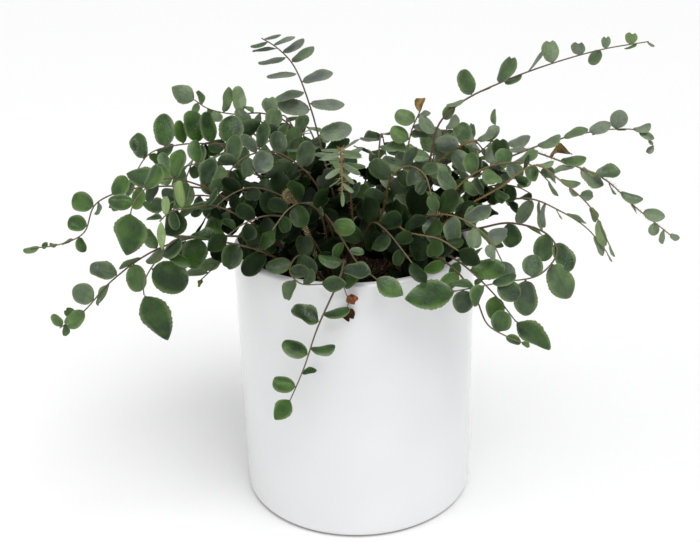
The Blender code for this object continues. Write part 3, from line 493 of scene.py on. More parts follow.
def crumb_tree():
    """Scatters crumbs over the upward faces of a mesh."""
    tree, start, end = new_tree("scatter_crumbs", {
        "Crumb": ("NodeSocketObject", None), "Density": ("NodeSocketFloat", 1.0),
        "Seed": ("NodeSocketInt", 3), "Least": ("NodeSocketFloat", 0.0005),
        "Greatest": ("NodeSocketFloat", 0.002), "Material": ("NodeSocketMaterial", None)})
    facing = add(tree, "GeometryNodeInputNormal").outputs[0]
    upward = add(tree, "ShaderNodeSeparateXYZ", {0: facing}).outputs["Z"]
    on_top = add(tree, "FunctionNodeCompare", {"A": upward, "B": 0.5}, operation="GREATER_THAN").outputs[0]
    given = start.outputs
    spread = add(tree, "GeometryNodeDistributePointsOnFaces",
                 {"Mesh": given["Geometry"], "Selection": on_top, "Density": given["Density"],
                  "Seed": given["Seed"]})
    turn = add(tree, "FunctionNodeRandomValue", {"Max": (6.28, 6.28, 6.28), "Seed": given["Seed"]},
               data_type="FLOAT_VECTOR").outputs[0]
    chance = add(tree, "FunctionNodeRandomValue", {"Seed": given["Seed"]}, data_type="FLOAT").outputs[1]
    cubed = work_out(tree, "POWER", chance, 3.0)
    size = add(tree, "ShaderNodeMapRange", {"Value": cubed, "To Min": given["Least"],
                                            "To Max": given["Greatest"]}).outputs[0]
    crumb = add(tree, "GeometryNodeObjectInfo", {"Object": given["Crumb"]}).outputs["Geometry"]
    placed = add(tree, "GeometryNodeInstanceOnPoints", {"Points": spread.outputs["Points"], "Instance": crumb,
                                                        "Rotation": turn, "Scale": size})
    tree.links.new(made_real(tree, placed, given["Material"]), end.inputs["Geometry"])
    return tree


crumb = crumb_shape()
crumbs = put("soil_crumbs", bed.data.copy())
bed_area = math.pi * (SOIL_RADIUS * MM) ** 2
run_tree(crumbs, crumb_tree(), {"Crumb": crumb, "Density": CRUMB_COUNT / bed_area, "Least": CRUMB_SIZE[0],
                                "Greatest": CRUMB_SIZE[1], "Material": peat})
bpy.data.objects.remove(crumb, do_unlink=True)
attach(crumbs, "root")
print("crumb triangles:", triangle_count(crumbs))

# %% [markdown]
# ## Where the fronds go
# Each frond rises from its own hole in the soil and arches out to its tip. The ones that show in the
# photograph are listed way point by way point, and the rest of the plant, behind and inside, follows
# a rule with a fixed seed. The numbers are those of the plain solids, so every fine frond grows exactly where
# its solid stands.

# %% Fronds listed one by one
SEED = 11
Frond = namedtuple("Frond", "name route leaf pitch width face terminal bare",
                   defaults=(13.0, 7.0, 0.70, None, 9.0, 0.38))

# The ways a frond's leaflets may face; without one they turn up and outward.
TO_LIGHT = (0.0, -0.25, 0.95)
HALF_FRONT = (0.0, -0.55, 0.8)
TO_FRONT = (0.0, -0.85, 0.5)

# Each frond's route: the root on the soil as (x, y), then the way points of the stem. Its leaflets have a
# length, a pitch along the stem, a width as a share of the length, a face, and a last one of its own length.
# The lowest share of the stem is bare.
HAND_FRONDS = (
    Frond("upright", [(-5, 10), (-9, 5, 159), (-14, 8, 182), (-20, 12, 208), (-28, 14, 230), (-36, 14, 239),
          (-43, 12, 244)], leaf=17.0, pitch=5.6, width=0.56, face=TO_LIGHT),
    Frond("right_upper", [(12, 9), (29, 10, 151), (40, 16, 176), (46, 20, 197), (58, 24, 207), (78, 30, 215),
          (105, 36, 223), (134, 42, 229), (158, 44, 232)], leaf=12.5, face=TO_FRONT),
    Frond("right_high", [(18, 0), (45, 0, 154), (69, 2, 177), (91, 6, 186), (115, 12, 191), (137, 18, 192),
          (152, 22, 189), (159, 22, 181)], leaf=14.0, pitch=6.5, face=TO_LIGHT),
    Frond("right_long", [(14, 18), (39, 22, 169), (52, 25, 180), (66, 25, 186), (88, 20, 183), (105, 10, 179),
          (128, 0, 171), (144, -5, 157), (162, -10, 143)], face=HALF_FRONT),
    Frond("right_thin", [(22, -8), (51, -12, 158), (73, -16, 173), (89, -20, 185), (100, -26, 179),
          (114, -32, 167), (124, -36, 148)], leaf=11.0, pitch=6.0, width=0.5, face=HALF_FRONT),
    Frond("right_low", [(24, 4), (50, 0, 148), (70, -4, 160), (89, -8, 164), (104, -10, 158), (118, -12, 149),
          (129, -14, 136)], leaf=11.0, pitch=6.0, width=0.5, face=TO_LIGHT),
    Frond("right_loop", [(20, -16), (45, -22, 150), (62, -30, 157), (75, -38, 162), (90, -48, 160),
          (94, -56, 154), (85, -64, 146), (66, -70, 145), (45, -74, 143)], leaf=15.0, pitch=7.5,
          face=TO_FRONT),
    Frond("lower_right", [(10, -18), (34, -40, 150), (45, -52, 151), (55, -62, 146), (65, -70, 137),
          (73, -74, 127)], leaf=13.5, face=TO_FRONT),
    Frond("lower_thin", [(4, -20), (33, -45, 150), (46, -60, 148), (55, -68, 137), (60, -74, 126),
          (68, -76, 121), (76, -78, 118)], leaf=11.5, pitch=6.5, face=TO_FRONT),
    Frond("front_hanging", [(-6, -24), (-5, -50, 150), (-6, -64, 150), (-9, -71, 145), (-18, -74, 126),
          (-25, -75, 106), (-32, -76, 90)], leaf=12.5, pitch=8.5, face=TO_FRONT),
    Frond("left_lower", [(-22, -10), (-41, -30, 153), (-59, -38, 159), (-77, -45, 161), (-95, -52, 157),
          (-114, -58, 145), (-128, -60, 131), (-140, -60, 123)], leaf=12.5, face=HALF_FRONT),
    Frond("left_far", [(-16, 6), (-42, 0, 164), (-69, -5, 172), (-91, -10, 176), (-112, -15, 176),
          (-127, -18, 170), (-134, -20, 156), (-146, -22, 151), (-160, -24, 150)], leaf=12.0, pitch=6.5,
          face=HALF_FRONT),
    Frond("left_terminal", [(-18, -22), (-45, -45, 154), (-64, -55, 163), (-79, -60, 167), (-89, -64, 159),
          (-95, -66, 151), (-97, -66, 146), (-97, -67, 142)], leaf=15.0, pitch=8.0, face=TO_FRONT),
    Frond("left_high", [(-9, 17), (-27, 18, 174), (-51, 22, 186), (-72, 24, 188), (-90, 24, 188),
          (-106, 22, 184), (-116, 18, 171)], leaf=16.0, face=TO_FRONT),
    Frond("left_top", [(-4, 26), (-22, 36, 174), (-35, 44, 194), (-48, 48, 198), (-64, 52, 197),
          (-78, 54, 200), (-85, 54, 205)], pitch=6.5, face=TO_FRONT),
    Frond("left_back", [(-12, 24), (-25, 28, 169), (-38, 34, 187), (-51, 38, 197), (-63, 42, 188),
          (-75, 44, 174)], leaf=14.0, face=TO_FRONT, bare=0.40),
    Frond("left_deep", [(-22, 13), (-32, 10, 166), (-52, 8, 179), (-72, 4, 184), (-88, -1, 182),
          (-98, -5, 178)], leaf=14.5, face=HALF_FRONT),
    Frond("left_rise", [(-12, 0), (-17, -4, 170), (-27, -8, 185), (-39, -12, 193), (-52, -18, 192),
          (-63, -24, 183)], leaf=14.5, face=TO_FRONT, bare=0.42),
    Frond("left_round", [(-26, -4), (-50, -28, 166), (-71, -45, 187), (-86, -58, 194), (-96, -68, 188),
          (-98, -71, 183)], leaf=16.0, pitch=8.0, face=TO_FRONT),
    Frond("left_mid", [(-15, -6), (-22, -12, 160), (-36, -22, 174), (-49, -32, 181), (-60, -42, 179),
          (-69, -50, 172)], leaf=13.5, face=HALF_FRONT),
    Frond("left_under", [(-33, 6), (-45, 2, 150), (-57, -4, 163), (-67, -12, 170), (-77, -20, 174),
          (-85, -26, 174), (-90, -30, 172)], leaf=12.5, face=HALF_FRONT),
    Frond("left_light", [(-20, -16), (-45, -35, 161), (-64, -50, 179), (-73, -62, 182), (-81, -72, 183),
          (-83, -76, 182)], leaf=12.0, pitch=6.0, face=TO_LIGHT),
    Frond("left_front", [(-9, -18), (-26, -35, 163), (-39, -50, 173), (-50, -61, 173), (-57, -68, 170)],
          leaf=13.5, face=TO_FRONT, terminal=12.0),
    Frond("left_rim", [(-24, -10), (-30, -20, 146), (-46, -34, 149), (-58, -42, 149), (-64, -45, 146),
          (-69, -46, 142)], leaf=12.0, face=HALF_FRONT),
    Frond("front_left", [(-12, -12), (-16, -30, 166), (-23, -42, 176), (-30, -54, 177), (-37, -62, 170)],
          leaf=13.0, face=TO_FRONT, terminal=11.0, bare=0.40),
    Frond("front_rim", [(-12, -28), (-26, -48, 152), (-30, -62, 150), (-25, -70, 147), (-15, -74, 148)],
          leaf=12.0, face=TO_FRONT, terminal=12.0, bare=0.42),
    Frond("front_mid", [(-4, -8), (-15, -20, 162), (-7, -38, 157), (1, -57, 151), (9, -69, 148)], leaf=12.5,
          face=TO_FRONT),
    Frond("centre_front", [(0, -15), (6, -25, 155), (10, -38, 164), (16, -50, 163), (22, -60, 158),
          (26, -66, 154)], leaf=13.5, pitch=7.5, face=TO_FRONT, terminal=13.0),
    Frond("centre_young", [(0, 0), (-1, 0, 163), (-5, -10, 187), (-5, -25, 197), (-5, -42, 194),
          (-5, -50, 183)], leaf=11.5, pitch=3.4, width=0.34, face=TO_LIGHT, terminal=6.0, bare=0.45),
    Frond("centre_right", [(6, -3), (16, -8, 163), (19, -16, 179), (27, -26, 188), (34, -34, 186),
          (37, -38, 177)], face=TO_FRONT, terminal=11.0),
    Frond("crozier_back", [(8, 20), (23, 22, 152), (28, 24, 174), (32, 24, 193), (36, 22, 203)], leaf=12.0,
          pitch=6.5, face=TO_LIGHT),
    Frond("top_short", [(17, 11), (39, 22, 160), (45, 28, 181), (51, 30, 192)], face=TO_FRONT, bare=0.45),
    Frond("right_crown", [(10, 16), (24, 26, 158), (36, 33, 172), (54, 37, 180), (69, 36, 178),
          (82, 34, 167)], leaf=13.5, face=HALF_FRONT),
    Frond("right_small", [(24, 20), (47, 26, 159), (64, 36, 172), (80, 44, 184), (77, 46, 190)],
          face=TO_LIGHT, bare=0.42),
    Frond("right_mid", [(27, 9), (56, 5, 160), (73, 0, 169), (84, -4, 169), (90, -6, 166)], face=HALF_FRONT),
    Frond("right_rise", [(30, -3), (47, -4, 162), (62, -4, 177), (76, -8, 183), (88, -12, 183),
          (97, -16, 175)], leaf=13.5, face=HALF_FRONT),
    Frond("right_near", [(15, -6), (30, -25, 158), (41, -40, 168), (52, -50, 168), (63, -56, 160),
          (68, -60, 151)], leaf=15.0, pitch=7.5, face=TO_FRONT, terminal=12.0),
    Frond("right_front", [(8, -10), (18, -30, 160), (26, -48, 162), (39, -60, 163), (47, -68, 160)],
          leaf=14.0, pitch=7.5, face=TO_FRONT, terminal=12.0),
)
print("fronds laid by hand:", len(HAND_FRONDS))

# %% [markdown]
# ## Leaflets listed one by one
# Where a frond stands clear of the rest, the eye follows every leaflet, so a rule won't do. Each row gives
# the share of the stem where a leaflet grows, the way it points as seen from the front, in degrees from the
# right and turning left, its length, how far its face is turned up from the front, and its width as a share
# of the length where that isn't the frond's own. Angles as seen are easier to judge than a direction
# in space.

# %% Leaflets listed one by one
HAND_LEAVES = {
    "upright": ((0.545, 15, 17, 20, 0.6), (0.65, 172, 16.5, 22), (0.675, 0, 17, 45), (0.725, 196, 15, 48),
        (0.765, 16, 15.5, 42), (0.80, 187, 15, 58), (0.85, 38, 13.5, 40), (0.875, 190, 14, 58),
        (0.90, 32, 12, 45), (0.925, 184, 12, 65), (0.945, 22, 11, 55), (0.968, 190, 9, 52),
        (0.99, 15, 8.5, 55)),
    "right_upper": ((0.41, 62, 11.5, 10), (0.487, 186, 9.5, 62), (0.507, 110, 13.5, 15), (0.57, 195, 7, 72),
        (0.585, 64, 15, 50), (0.655, 198, 10, 58), (0.67, 58, 13.5, 50), (0.735, 93, 12, 0),
        (0.81, 85, 7.5, 0, 0.95), (0.872, 232, 8.5, 10), (0.885, 85, 6.5, 20), (0.95, 80, 6, 10, 1.0),
        (0.97, 200, 7, 68), (1.0, -35, 4.5, 45)),
    "right_high": ((0.50, 200, 11, 60), (0.555, 178, 10, 60), (0.585, 30, 12, 55), (0.67, 20, 12.5, 58),
        (0.755, 27, 11.5, 40), (0.825, 178, 8.5, 70), (0.845, 82, 9.5, 5, 0.95), (0.885, 178, 5.5, 75),
        (0.905, 20, 9, 52), (0.925, -27, 8.5, 30, 0.6), (0.97, -60, 5.5, 20, 0.6), (1.0, 230, 5, 30)),
    "right_long": ((0.42, 38, 11, 55), (0.45, 62, 9, 25), (0.475, 245, 11.5, 20), (0.50, 14, 12, 45),
        (0.57, 200, 11, 60), (0.62, 8, 11, 60), (0.65, 5, 12.5, 50), (0.69, 192, 13, 68, 0.6),
        (0.705, -34, 14, 35), (0.745, 7, 12, 35), (0.785, -50, 7.5, 68), (0.825, -22, 11.5, 42, 0.6),
        (0.86, -52, 7.5, 68), (0.905, -10, 11, 30), (0.945, -85, 6.5, 20, 1.0), (0.975, -80, 7.5, 30, 0.6),
        (1.0, -20, 5, 20)),
    "right_thin": ((0.62, 20, 9, 60), (0.66, -50, 8, 60), (0.715, -18, 10, 50), (0.755, -42, 7, 72),
        (0.80, 5, 6.5, 0, 0.75), (0.85, -62, 8, 50), (0.90, -66, 12.5, 30), (1.0, -60, 6, 50)),
    "right_low": ((0.62, 236, 13.5, 15, 0.5), (0.645, -82, 14.5, 62, 0.5), (0.67, -82, 12, 56),
        (0.72, -50, 6, 68), (0.765, -20, 12, 60), (0.91, -62, 11, 35, 0.5), (1.0, -50, 6, 60)),
    "right_loop": ((0.33, 100, 11, 40), (0.345, -36, 14, 30, 0.42), (0.445, -75, 12, 0, 0.74),
        (0.50, -24, 9, 74), (0.57, -100, 12.5, 10), (0.61, -60, 14.5, 50), (0.685, -60, 17.5, 8),
        (0.765, 78, 10.5, 0, 0.88), (0.785, -88, 16, 10), (0.873, -34, 11.5, 8, 0.8), (0.89, 27, 11, 48, 0.6),
        (0.915, 235, 11.5, 10, 0.8), (0.94, 165, 12, 40), (0.975, -92, 10.5, 0, 0.85),
        (1.0, 187, 22.5, 5, 0.6)),
    "lower_right": ((0.40, 60, 11, 30), (0.46, 250, 11, 30), (0.60, 14, 13.5, 30, 0.5), (0.615, 240, 8, 25),
        (0.68, 2, 15.5, 5, 0.6), (0.76, 205, 9, 55), (0.85, 262, 11, 15, 0.75), (1.0, -44, 20.5, 0, 0.55)),
    "lower_thin": ((0.52, 200, 10, 40), (0.60, 215, 10, 20), (0.70, 190, 9, 40), (0.895, 80, 10.5, 0, 0.84),
        (0.925, -15, 9.5, 15, 0.6), (1.0, -25, 4, 30)),
    "front_hanging": ((0.615, 16, 12, 60), (0.645, 147, 13.4, 38), (0.765, 13, 11, 58), (0.79, 150, 12.6, 36),
        (0.875, 16, 7, 56), (0.935, 162, 10.6, 22), (1.0, 230, 11.5, 12, 0.78)),
    "left_lower": ((0.46, 60, 12, 30), (0.495, 166, 14, 45, 0.42), (0.52, 258, 13, 25, 0.85),
        (0.585, 225, 11.5, 5, 0.95), (0.61, 110, 10, 45), (0.66, 203, 12, 52, 0.6), (0.69, -80, 13, 0, 0.7),
        (0.75, 158, 13.5, 22, 0.62), (0.785, 235, 11, 30), (0.855, 152, 11, 0, 0.86), (0.90, 218, 10.5, 35),
        (0.935, 140, 6, 10), (0.975, -88, 5.5, 50), (0.995, 118, 7.5, 48)),
    "left_far": ((0.42, 70, 12, 30), (0.48, 235, 12, 40), (0.55, 110, 12, 30), (0.62, 240, 11.5, 20),
        (0.68, 236, 10, 25), (0.705, 42, 11.5, 10, 0.75), (0.745, 245, 6.5, 55), (0.765, 158, 12.5, 0, 0.75),
        (0.825, 163, 9.5, 10, 0.82), (0.865, -68, 7.6, 40), (0.88, 197, 6.5, 62), (0.925, 165, 4.5, 55),
        (0.955, 150, 4, 10, 0.9), (0.975, 184, 8, 52)),
    "left_terminal": ((0.55, 100, 12, 40), (0.635, 250, 14, 20, 0.92), (0.68, 5, 12, 58), (0.72, 230, 11, 40),
        (0.80, -28, 13, 45, 0.5), (0.885, -28, 17, 0, 0.84), (1.0, -68, 24, 0, 0.58)),
    "left_high": ((0.38, 70, 14, 40), (0.45, 235, 13, 45), (0.50, 80, 14, 40), (0.55, 250, 13, 30),
        (0.60, 90, 16, 0, 0.8), (0.665, 96, 16, 50), (0.70, 250, 12, 45), (0.72, 95, 17.5, 5),
        (0.765, 92, 12, 52), (0.795, 200, 11, 30, 0.8), (0.83, 93, 17.5, 0, 0.62), (0.89, -38, 12, 50),
        (0.915, 106, 14, 0, 0.62), (0.95, 235, 9, 60), (1.0, 250, 9, 40)),
    "left_top": ((0.52, 60, 11, 30), (0.58, 230, 11, 40), (0.65, 100, 10, 10, 0.85), (0.70, 215, 9, 40),
        (0.735, 135, 7, 60), (0.795, 92, 15.5, 28, 0.5), (0.865, 78, 13.5, 20, 0.45),
        (0.905, 288, 7.5, 20, 0.8), (0.935, 300, 8, 50), (0.96, 98, 8.5, 10, 0.7), (0.98, 240, 6.5, 20, 0.7),
        (1.0, 148, 13.5, 10, 0.8)),
    "left_round": ((0.50, 80, 12, 30), (0.56, 240, 12, 30), (0.64, 75, 13, 20), (0.72, 250, 12, 30),
        (0.78, 70, 13, 30), (0.84, 235, 11, 35), (0.90, 60, 12, 30), (0.96, 177, 10.5, 0, 0.65),
        (1.0, 258, 19.5, 5, 0.78)),
    "left_deep": ((0.38, 70, 13, 30), (0.45, 240, 13, 30), (0.52, 85, 13, 30), (0.59, 235, 13, 35),
        (0.66, 80, 14, 25), (0.74, 240, 13, 30), (0.81, 95, 12, 40), (0.87, 235, 12, 30), (0.93, 110, 11, 45),
        (1.0, 168, 16.5, 15, 0.68)),
    "left_light": ((0.52, 70, 11, 40), (0.60, 240, 10, 40), (0.68, 179, 11, 60), (0.74, 60, 9, 55),
        (0.80, 203, 10.5, 56), (0.87, 92, 12, 20, 0.36), (0.893, 258, 12, 15, 0.88), (0.92, -78, 8, 30, 0.6),
        (0.96, 92, 9, 5, 0.38), (0.98, 172, 8, 55, 0.5), (1.0, -86, 12.5, 10, 0.3)),
    "left_rim": ((0.42, 30, 11.5, 50), (0.62, 15, 10.5, 55), (0.70, 165, 10.5, 58),
        (0.82, 183, 10.5, 20, 0.6), (0.93, 178, 12, 20, 0.55), (1.0, 240, 4, 40)),
    "front_mid": ((0.405, 160, 12, 15, 0.68), (0.44, 236, 13.5, 12, 0.6), (0.53, -14, 11, 10, 0.78),
        (0.665, 258, 11.5, 8, 0.72), (0.745, -5, 7, 30, 0.6), (0.875, 236, 12.2, 5, 0.78),
        (1.0, -32, 14, 8, 0.68)),
    "left_under": ((0.42, 80, 13, 30), (0.50, 245, 12, 35), (0.57, 95, 12, 30), (0.64, 235, 12, 35),
        (0.71, 100, 11, 40), (0.78, 240, 11, 35), (0.84, 130, 10, 45), (0.90, 155, 11.5, 12, 0.62),
        (0.95, 225, 7.5, 25), (1.0, 172, 12.5, 10, 0.62)),
    "right_crown": ((0.48, 130, 12, 30), (0.54, 255, 11, 45), (0.61, 100, 14, 20), (0.66, 238, 10, 35),
        (0.705, 92, 8, 10, 0.9), (0.76, -62, 11.5, 25), (0.795, 98, 10.5, 15, 0.85), (0.83, -75, 10, 45),
        (0.875, 5, 12, 15, 0.85), (0.93, -80, 9, 50), (0.96, 60, 8, 50), (1.0, -40, 8, 40)),
    "crozier_back": ((0.45, 20, 12, 30), (0.50, 160, 12, 35), (0.56, 10, 12, 45), (0.61, 150, 12, 25),
        (0.67, 15, 12, 50), (0.73, 160, 11, 40), (0.80, 150, 11, 15, 0.8), (0.83, 10, 11, 35),
        (0.88, 12, 10, 40), (0.92, 147, 11, 15, 0.8), (0.955, 20, 7, 50), (1.0, 70, 9, 10, 0.5)),
}
print("leaflets laid by hand:", sum(len(rows) for rows in HAND_LEAVES.values()), "on fronds:",
      len(HAND_LEAVES))

# %% [markdown]
# ## Fronds by rule
# The back of the plant and its heart can't be seen in a photograph, but they are judged from behind and
# above. A fern fills every side in the same manner, so these fronds share one arching path, and chance only
# varies their bearing, reach, height and sway. A seed made of the frond's own name gives the same plant each
# time.

# %% Fronds by rule
# Each set: how many, the first and last bearing in degrees from +X, and the least and the greatest root
# radius, reach from the pot's middle, height of the crest and height of the tip.
RuleSet = namedtuple("RuleSet", "name count first last root reach crest tip")
RULE_SETS = (
    RuleSet("back_right", 3, 20, 78, (30, 36), (96, 122), (172, 184), (136, 160)),
    RuleSet("back_left", 4, 98, 162, (30, 36), (96, 122), (180, 194), (138, 162)),
    RuleSet("back_short", 4, 50, 136, (36, 43), (64, 84), (160, 172), (142, 156)),
    RuleSet("inner", 4, 30, 200, (8, 22), (30, 52), (170, 184), (160, 176)),
)

# The arch that they share: shares of the reach, of the crest's height, of the tip's height and of the sway.
ARCH = ((0.0, 0.0, 0.0, 0.0), (0.16, 0.55, 0.0, 0.1), (0.42, 0.90, 0.0, 0.5), (0.68, 1.0, 0.0, 0.9),
        (0.88, 0.45, 0.5, 1.0), (1.0, 0.0, 1.0, 0.9))
AIM = 6.0
SWAY = 9.0
RULE_LEAF = (12.0, 15.0)


def rule_fronds():
    """The back and the heart of the plant: arching fronds spread evenly over a sector, by rule."""
    fronds = []
    for rule in RULE_SETS:
        for k in range(rule.count):
            draw = random.Random(f"{SEED}-{rule.name}-{k}")
            bearing = rule.first + (rule.last - rule.first) * (k + 0.5) / rule.count + draw.uniform(-AIM, AIM)
            outward = Vector((math.cos(math.radians(bearing)), math.sin(math.radians(bearing)), 0.0))
            sideways = Vector((-outward.y, outward.x, 0.0))
            root = draw.uniform(*rule.root)
            reach = draw.uniform(*rule.reach)
            crest = draw.uniform(*rule.crest) - SOIL_TOP
            tip = draw.uniform(*rule.tip) - SOIL_TOP
            sway = draw.uniform(-SWAY, SWAY)
            span = reach - root
            route = []
            for share, of_crest, of_tip, of_sway in ARCH:
                spot = outward * (root + share * span) + sideways * (of_sway * sway)
                route.append((spot.x, spot.y, SOIL_TOP + of_crest * crest + of_tip * tip))
            route[0] = route[0][:2]
            fronds.append(Frond(f"{rule.name}_{k + 1}", route, leaf=draw.uniform(*RULE_LEAF)))
    return fronds


all_fronds = list(HAND_FRONDS) + rule_fronds()
print("fronds by rule:", len(all_fronds) - len(HAND_FRONDS), "in all:", len(all_fronds))

# %% [markdown]
# ## A smooth stem through its way points
# A living stem has no corners. A Catmull-Rom curve passes through every way point and bends smoothly between
# them, and the centripetal kind doesn't loop where two points lie close together. The points are then spaced
# evenly, so a distance along the stem is the same as a place in the list.

# %% Smooth stems
STEM_STEP = 2.0
STEM_COLLAR = 2.5
CURVE_SAMPLES = 24


def between(first, second, low, high, k):
    """The point between two that lies where k lies between their knots."""
    return first + (second - first) * (k - low) / (high - low)


def smooth_route(way_points, step=STEM_STEP):
    """Points an even step apart on a centripetal Catmull-Rom curve through a stem's way points."""
    given = [np.array(point, dtype=float) for point in way_points]
    given = [2.0 * given[0] - given[1]] + given + [2.0 * given[-1] - given[-2]]
    dense = []
    for p0, p1, p2, p3 in zip(given, given[1:], given[2:], given[3:]):
        k0 = 0.0
        k1 = k0 + math.sqrt(np.linalg.norm(p1 - p0))
        k2 = k1 + math.sqrt(np.linalg.norm(p2 - p1))
        k3 = k2 + math.sqrt(np.linalg.norm(p3 - p2))
        for k in np.linspace(k1, k2, CURVE_SAMPLES, endpoint=False):
            a1, a2, a3 = between(p0, p1, k0, k1, k), between(p1, p2, k1, k2, k), between(p2, p3, k2, k3, k)
            b1, b2 = between(a1, a2, k0, k2, k), between(a2, a3, k1, k3, k)
            dense.append(between(b1, b2, k1, k2, k))
    dense.append(given[-2])
    dense = np.array(dense)
    travelled = np.concatenate([[0.0], np.cumsum(np.linalg.norm(np.diff(dense, axis=0), axis=1))])
    count = max(2, int(round(travelled[-1] / step)))
    wanted = np.linspace(0.0, travelled[-1], count + 1)
    return np.stack([np.interp(wanted, travelled, dense[:, axis]) for axis in range(3)], axis=1)


def stem_way_points(route):
    """A route's way points, with the root turned into a short upright start above the soil."""
    root = route[0]
    return [(root[0], root[1], SOIL_TOP + STEM_COLLAR)] + list(route[1:])


print("example stem points:", len(smooth_route(stem_way_points(all_fronds[0].route))))

# %% [markdown]
# ## Stems that don't cross
# Fifty stems leave one small pot, so some would run through each other. They are laid one after another. Each
# is moved by small random steps, larger with every try, until it keeps its distance from all the stems before
# it and from the rim of the pot.

# %% Lay the stems
STEM_SPACING = 3.0
STEM_CLEAR_RADIUS = 1.0
STEM_BEND = 0.5
HOLE_RADIUS = 1.7
MOST_TRIES = 160
TRY_STEP = 0.05
RISE_SHARE = 0.6
HOLES_APART = 2.0 * HOLE_RADIUS + 3.0 * TOUCH_GAP


def nudged(route, draw, amount):
    """A route with its root and way points moved a little, the tip most of all."""
    moved = [(route[0][0] + draw.uniform(-1, 1) * amount, route[0][1] + draw.uniform(-1, 1) * amount)]
    for x, y, z in route[1:]:
        moved.append((x + draw.uniform(-1, 1) * amount, y + draw.uniform(-1, 1) * amount,
                      z + draw.uniform(-1, 1) * RISE_SHARE * amount))
    return moved


def clear_of_pot(line):
    """Whether a stem stays clear of the pot's wall and rim."""
    reach = np.hypot(line[:, 0], line[:, 1])
    margin = STEM_CLEAR_RADIUS + STEM_BEND + TOUCH_GAP
    inside = reach < POT_RADIUS - POT_WALL - margin
    outside = reach > POT_RADIUS + margin
    above = line[:, 2] > POT_HEIGHT + margin
    return bool(np.all(inside | outside | above))


def lay_stems(fronds):
    """Lays the stems one after another, moving each by small steps until it is clear of those before it."""
    laid = {}
    for frond in fronds:
        draw = random.Random(f"{SEED}-{frond.name}")
        best = None
        for attempt in range(MOST_TRIES):
            route = nudged(frond.route, draw, TRY_STEP * attempt) if attempt else frond.route
            line = smooth_route(stem_way_points(route))
            gap = STEM_SPACING
            for other in laid.values():
                gap = min(gap, np.linalg.norm(line[:, None] - other[None, :], axis=2).min())
                gap = min(gap, STEM_SPACING * np.linalg.norm(line[0] - other[0]) / HOLES_APART)
            if not clear_of_pot(line):
                gap -= STEM_SPACING
            if best is None or gap > best[0]:
                best = (gap, line)
            if gap >= STEM_SPACING:
                break
        laid[frond.name] = best[1]
    return laid


stem_lines = lay_stems(all_fronds)
longest = max(len(line) - 1 for line in stem_lines.values()) * STEM_STEP
print("stems laid:", len(stem_lines), "longest:", round(longest), "mm")

# %% [markdown]
# ## How a leaflet is held
# Leaflets leave the stem by turns to the left and right, nearer together and smaller towards the tip, and one
# ends it. Each turns its upper side to the light, with a little lift and roll of its own. When a neighbour is
# in the way, a real leaflet bends aside as it grows, so every leaflet has a list of ways to be held, the
# natural one first.

# %% Leaflet places and ways
VIEW_PITCH = math.radians(22.3)
LEAVES_IN_A_RUN = 4
LEAVES_KEPT_IN_A_RUN = 2
INNER_INDEX = 100

# The ways a leaflet may be held, the natural one first: more lift and roll in degrees, a share of its size.
HOLDS = ((0, 0, 1), (16, 0, 1), (-16, 0, 1), (0, 30, 1), (0, -30, 1), (32, 10, 1), (-32, -10, 1),
         (20, 50, 0.95), (-20, -50, 0.95), (50, 0, 0.92), (-50, 0, 0.92), (30, 80, 0.9), (-30, -80, 0.9),
         (70, 40, 0.8), (0, 0, 0.7), (25, 0, 0.66), (-25, 0, 0.66))

# How leaflets vary, in degrees and in shares: how much longer those listed one by one are than they look from
# the front, how far they swing towards the viewer, and how far those laid by rule lean along the stem, lift,
# roll, differ in size and shrink towards the tip.
SEEN_SHORT = 1.06
SWING = 18.0
FORWARD = (8.0, 26.0)
FORWARD_MORE = 22.0
LIFT = 22.0
ROLL = 42.0
SIZE_SPREAD = (0.86, 1.12)
WIDTH_SPREAD = (0.92, 1.08)
TIP_SHRINK = 0.5
TIP_POWER = 2.2
PITCH_TAPER = 0.42
LEAF_MARGIN = 0.35
TIP_SETBACK = 0.8
FACE_SHARE = 0.65
FACE_UP = 0.85
FACE_OUT = 0.45


def between_axes(first, second, degrees):
    """The direction that is turned from one axis towards another."""
    return first * math.cos(math.radians(degrees)) + second * math.sin(math.radians(degrees))


def picture_hold(points, turned, swing):
    """The ways that a leaflet and its face point when it is given as seen from the front, a little above."""
    upward = Vector((0.0, math.sin(VIEW_PITCH), math.cos(VIEW_PITCH)))
    to_viewer = Vector((0.0, -math.cos(VIEW_PITCH), math.sin(VIEW_PITCH)))
    along = between_axes(Vector((1.0, 0.0, 0.0)), upward, points)
    rise = along.cross(to_viewer)
    if rise.z < 0.0:
        rise = -rise
    return between_axes(along, to_viewer, swing), between_axes(to_viewer, rise, turned)


def leaf_face(frond, spot):
    """The direction that a leaflet's upper side turns to: given for the frond, or up and outward."""
    if frond.face is not None:
        return Vector(frond.face).normalized()
    outward = Vector((spot[0], spot[1], 0.0)).normalized()
    return (Vector((0.0, 0.0, FACE_UP)) + FACE_OUT * outward).normalized()


def leaf_places(frond, line):
    """Where leaflets leave a stem: index, distance, side, and share of the leafy length."""
    length = STEM_STEP * (len(line) - 1)
    if frond.name in HAND_LEAVES:
        return [(index, min(row[0] * length, length - TIP_SETBACK), 1, row[0])
                for index, row in enumerate(HAND_LEAVES[frond.name])]
    start = frond.bare * length
    spots = []
    distance = start
    side = 1
    while distance < length - LEAF_MARGIN * frond.leaf:
        share = (distance - start) / (length - start)
        spots.append((distance, side, share))
        distance += frond.pitch * (1.0 - PITCH_TAPER * share ** 2)
        side = -side
    spots.append((length - TIP_SETBACK, 0, 1.0))
    return [(index, *spot) for index, spot in enumerate(spots)]


def solid_places(frond, line):
    """The places that the solid of a frond laid by rule fills: the tip, and every other pair back from it."""
    places = leaf_places(frond, line)
    kept = [place for place in places[:-1]
            if (len(places) - 2 - place[0]) % LEAVES_IN_A_RUN < LEAVES_KEPT_IN_A_RUN]
    return kept + places[-1:]


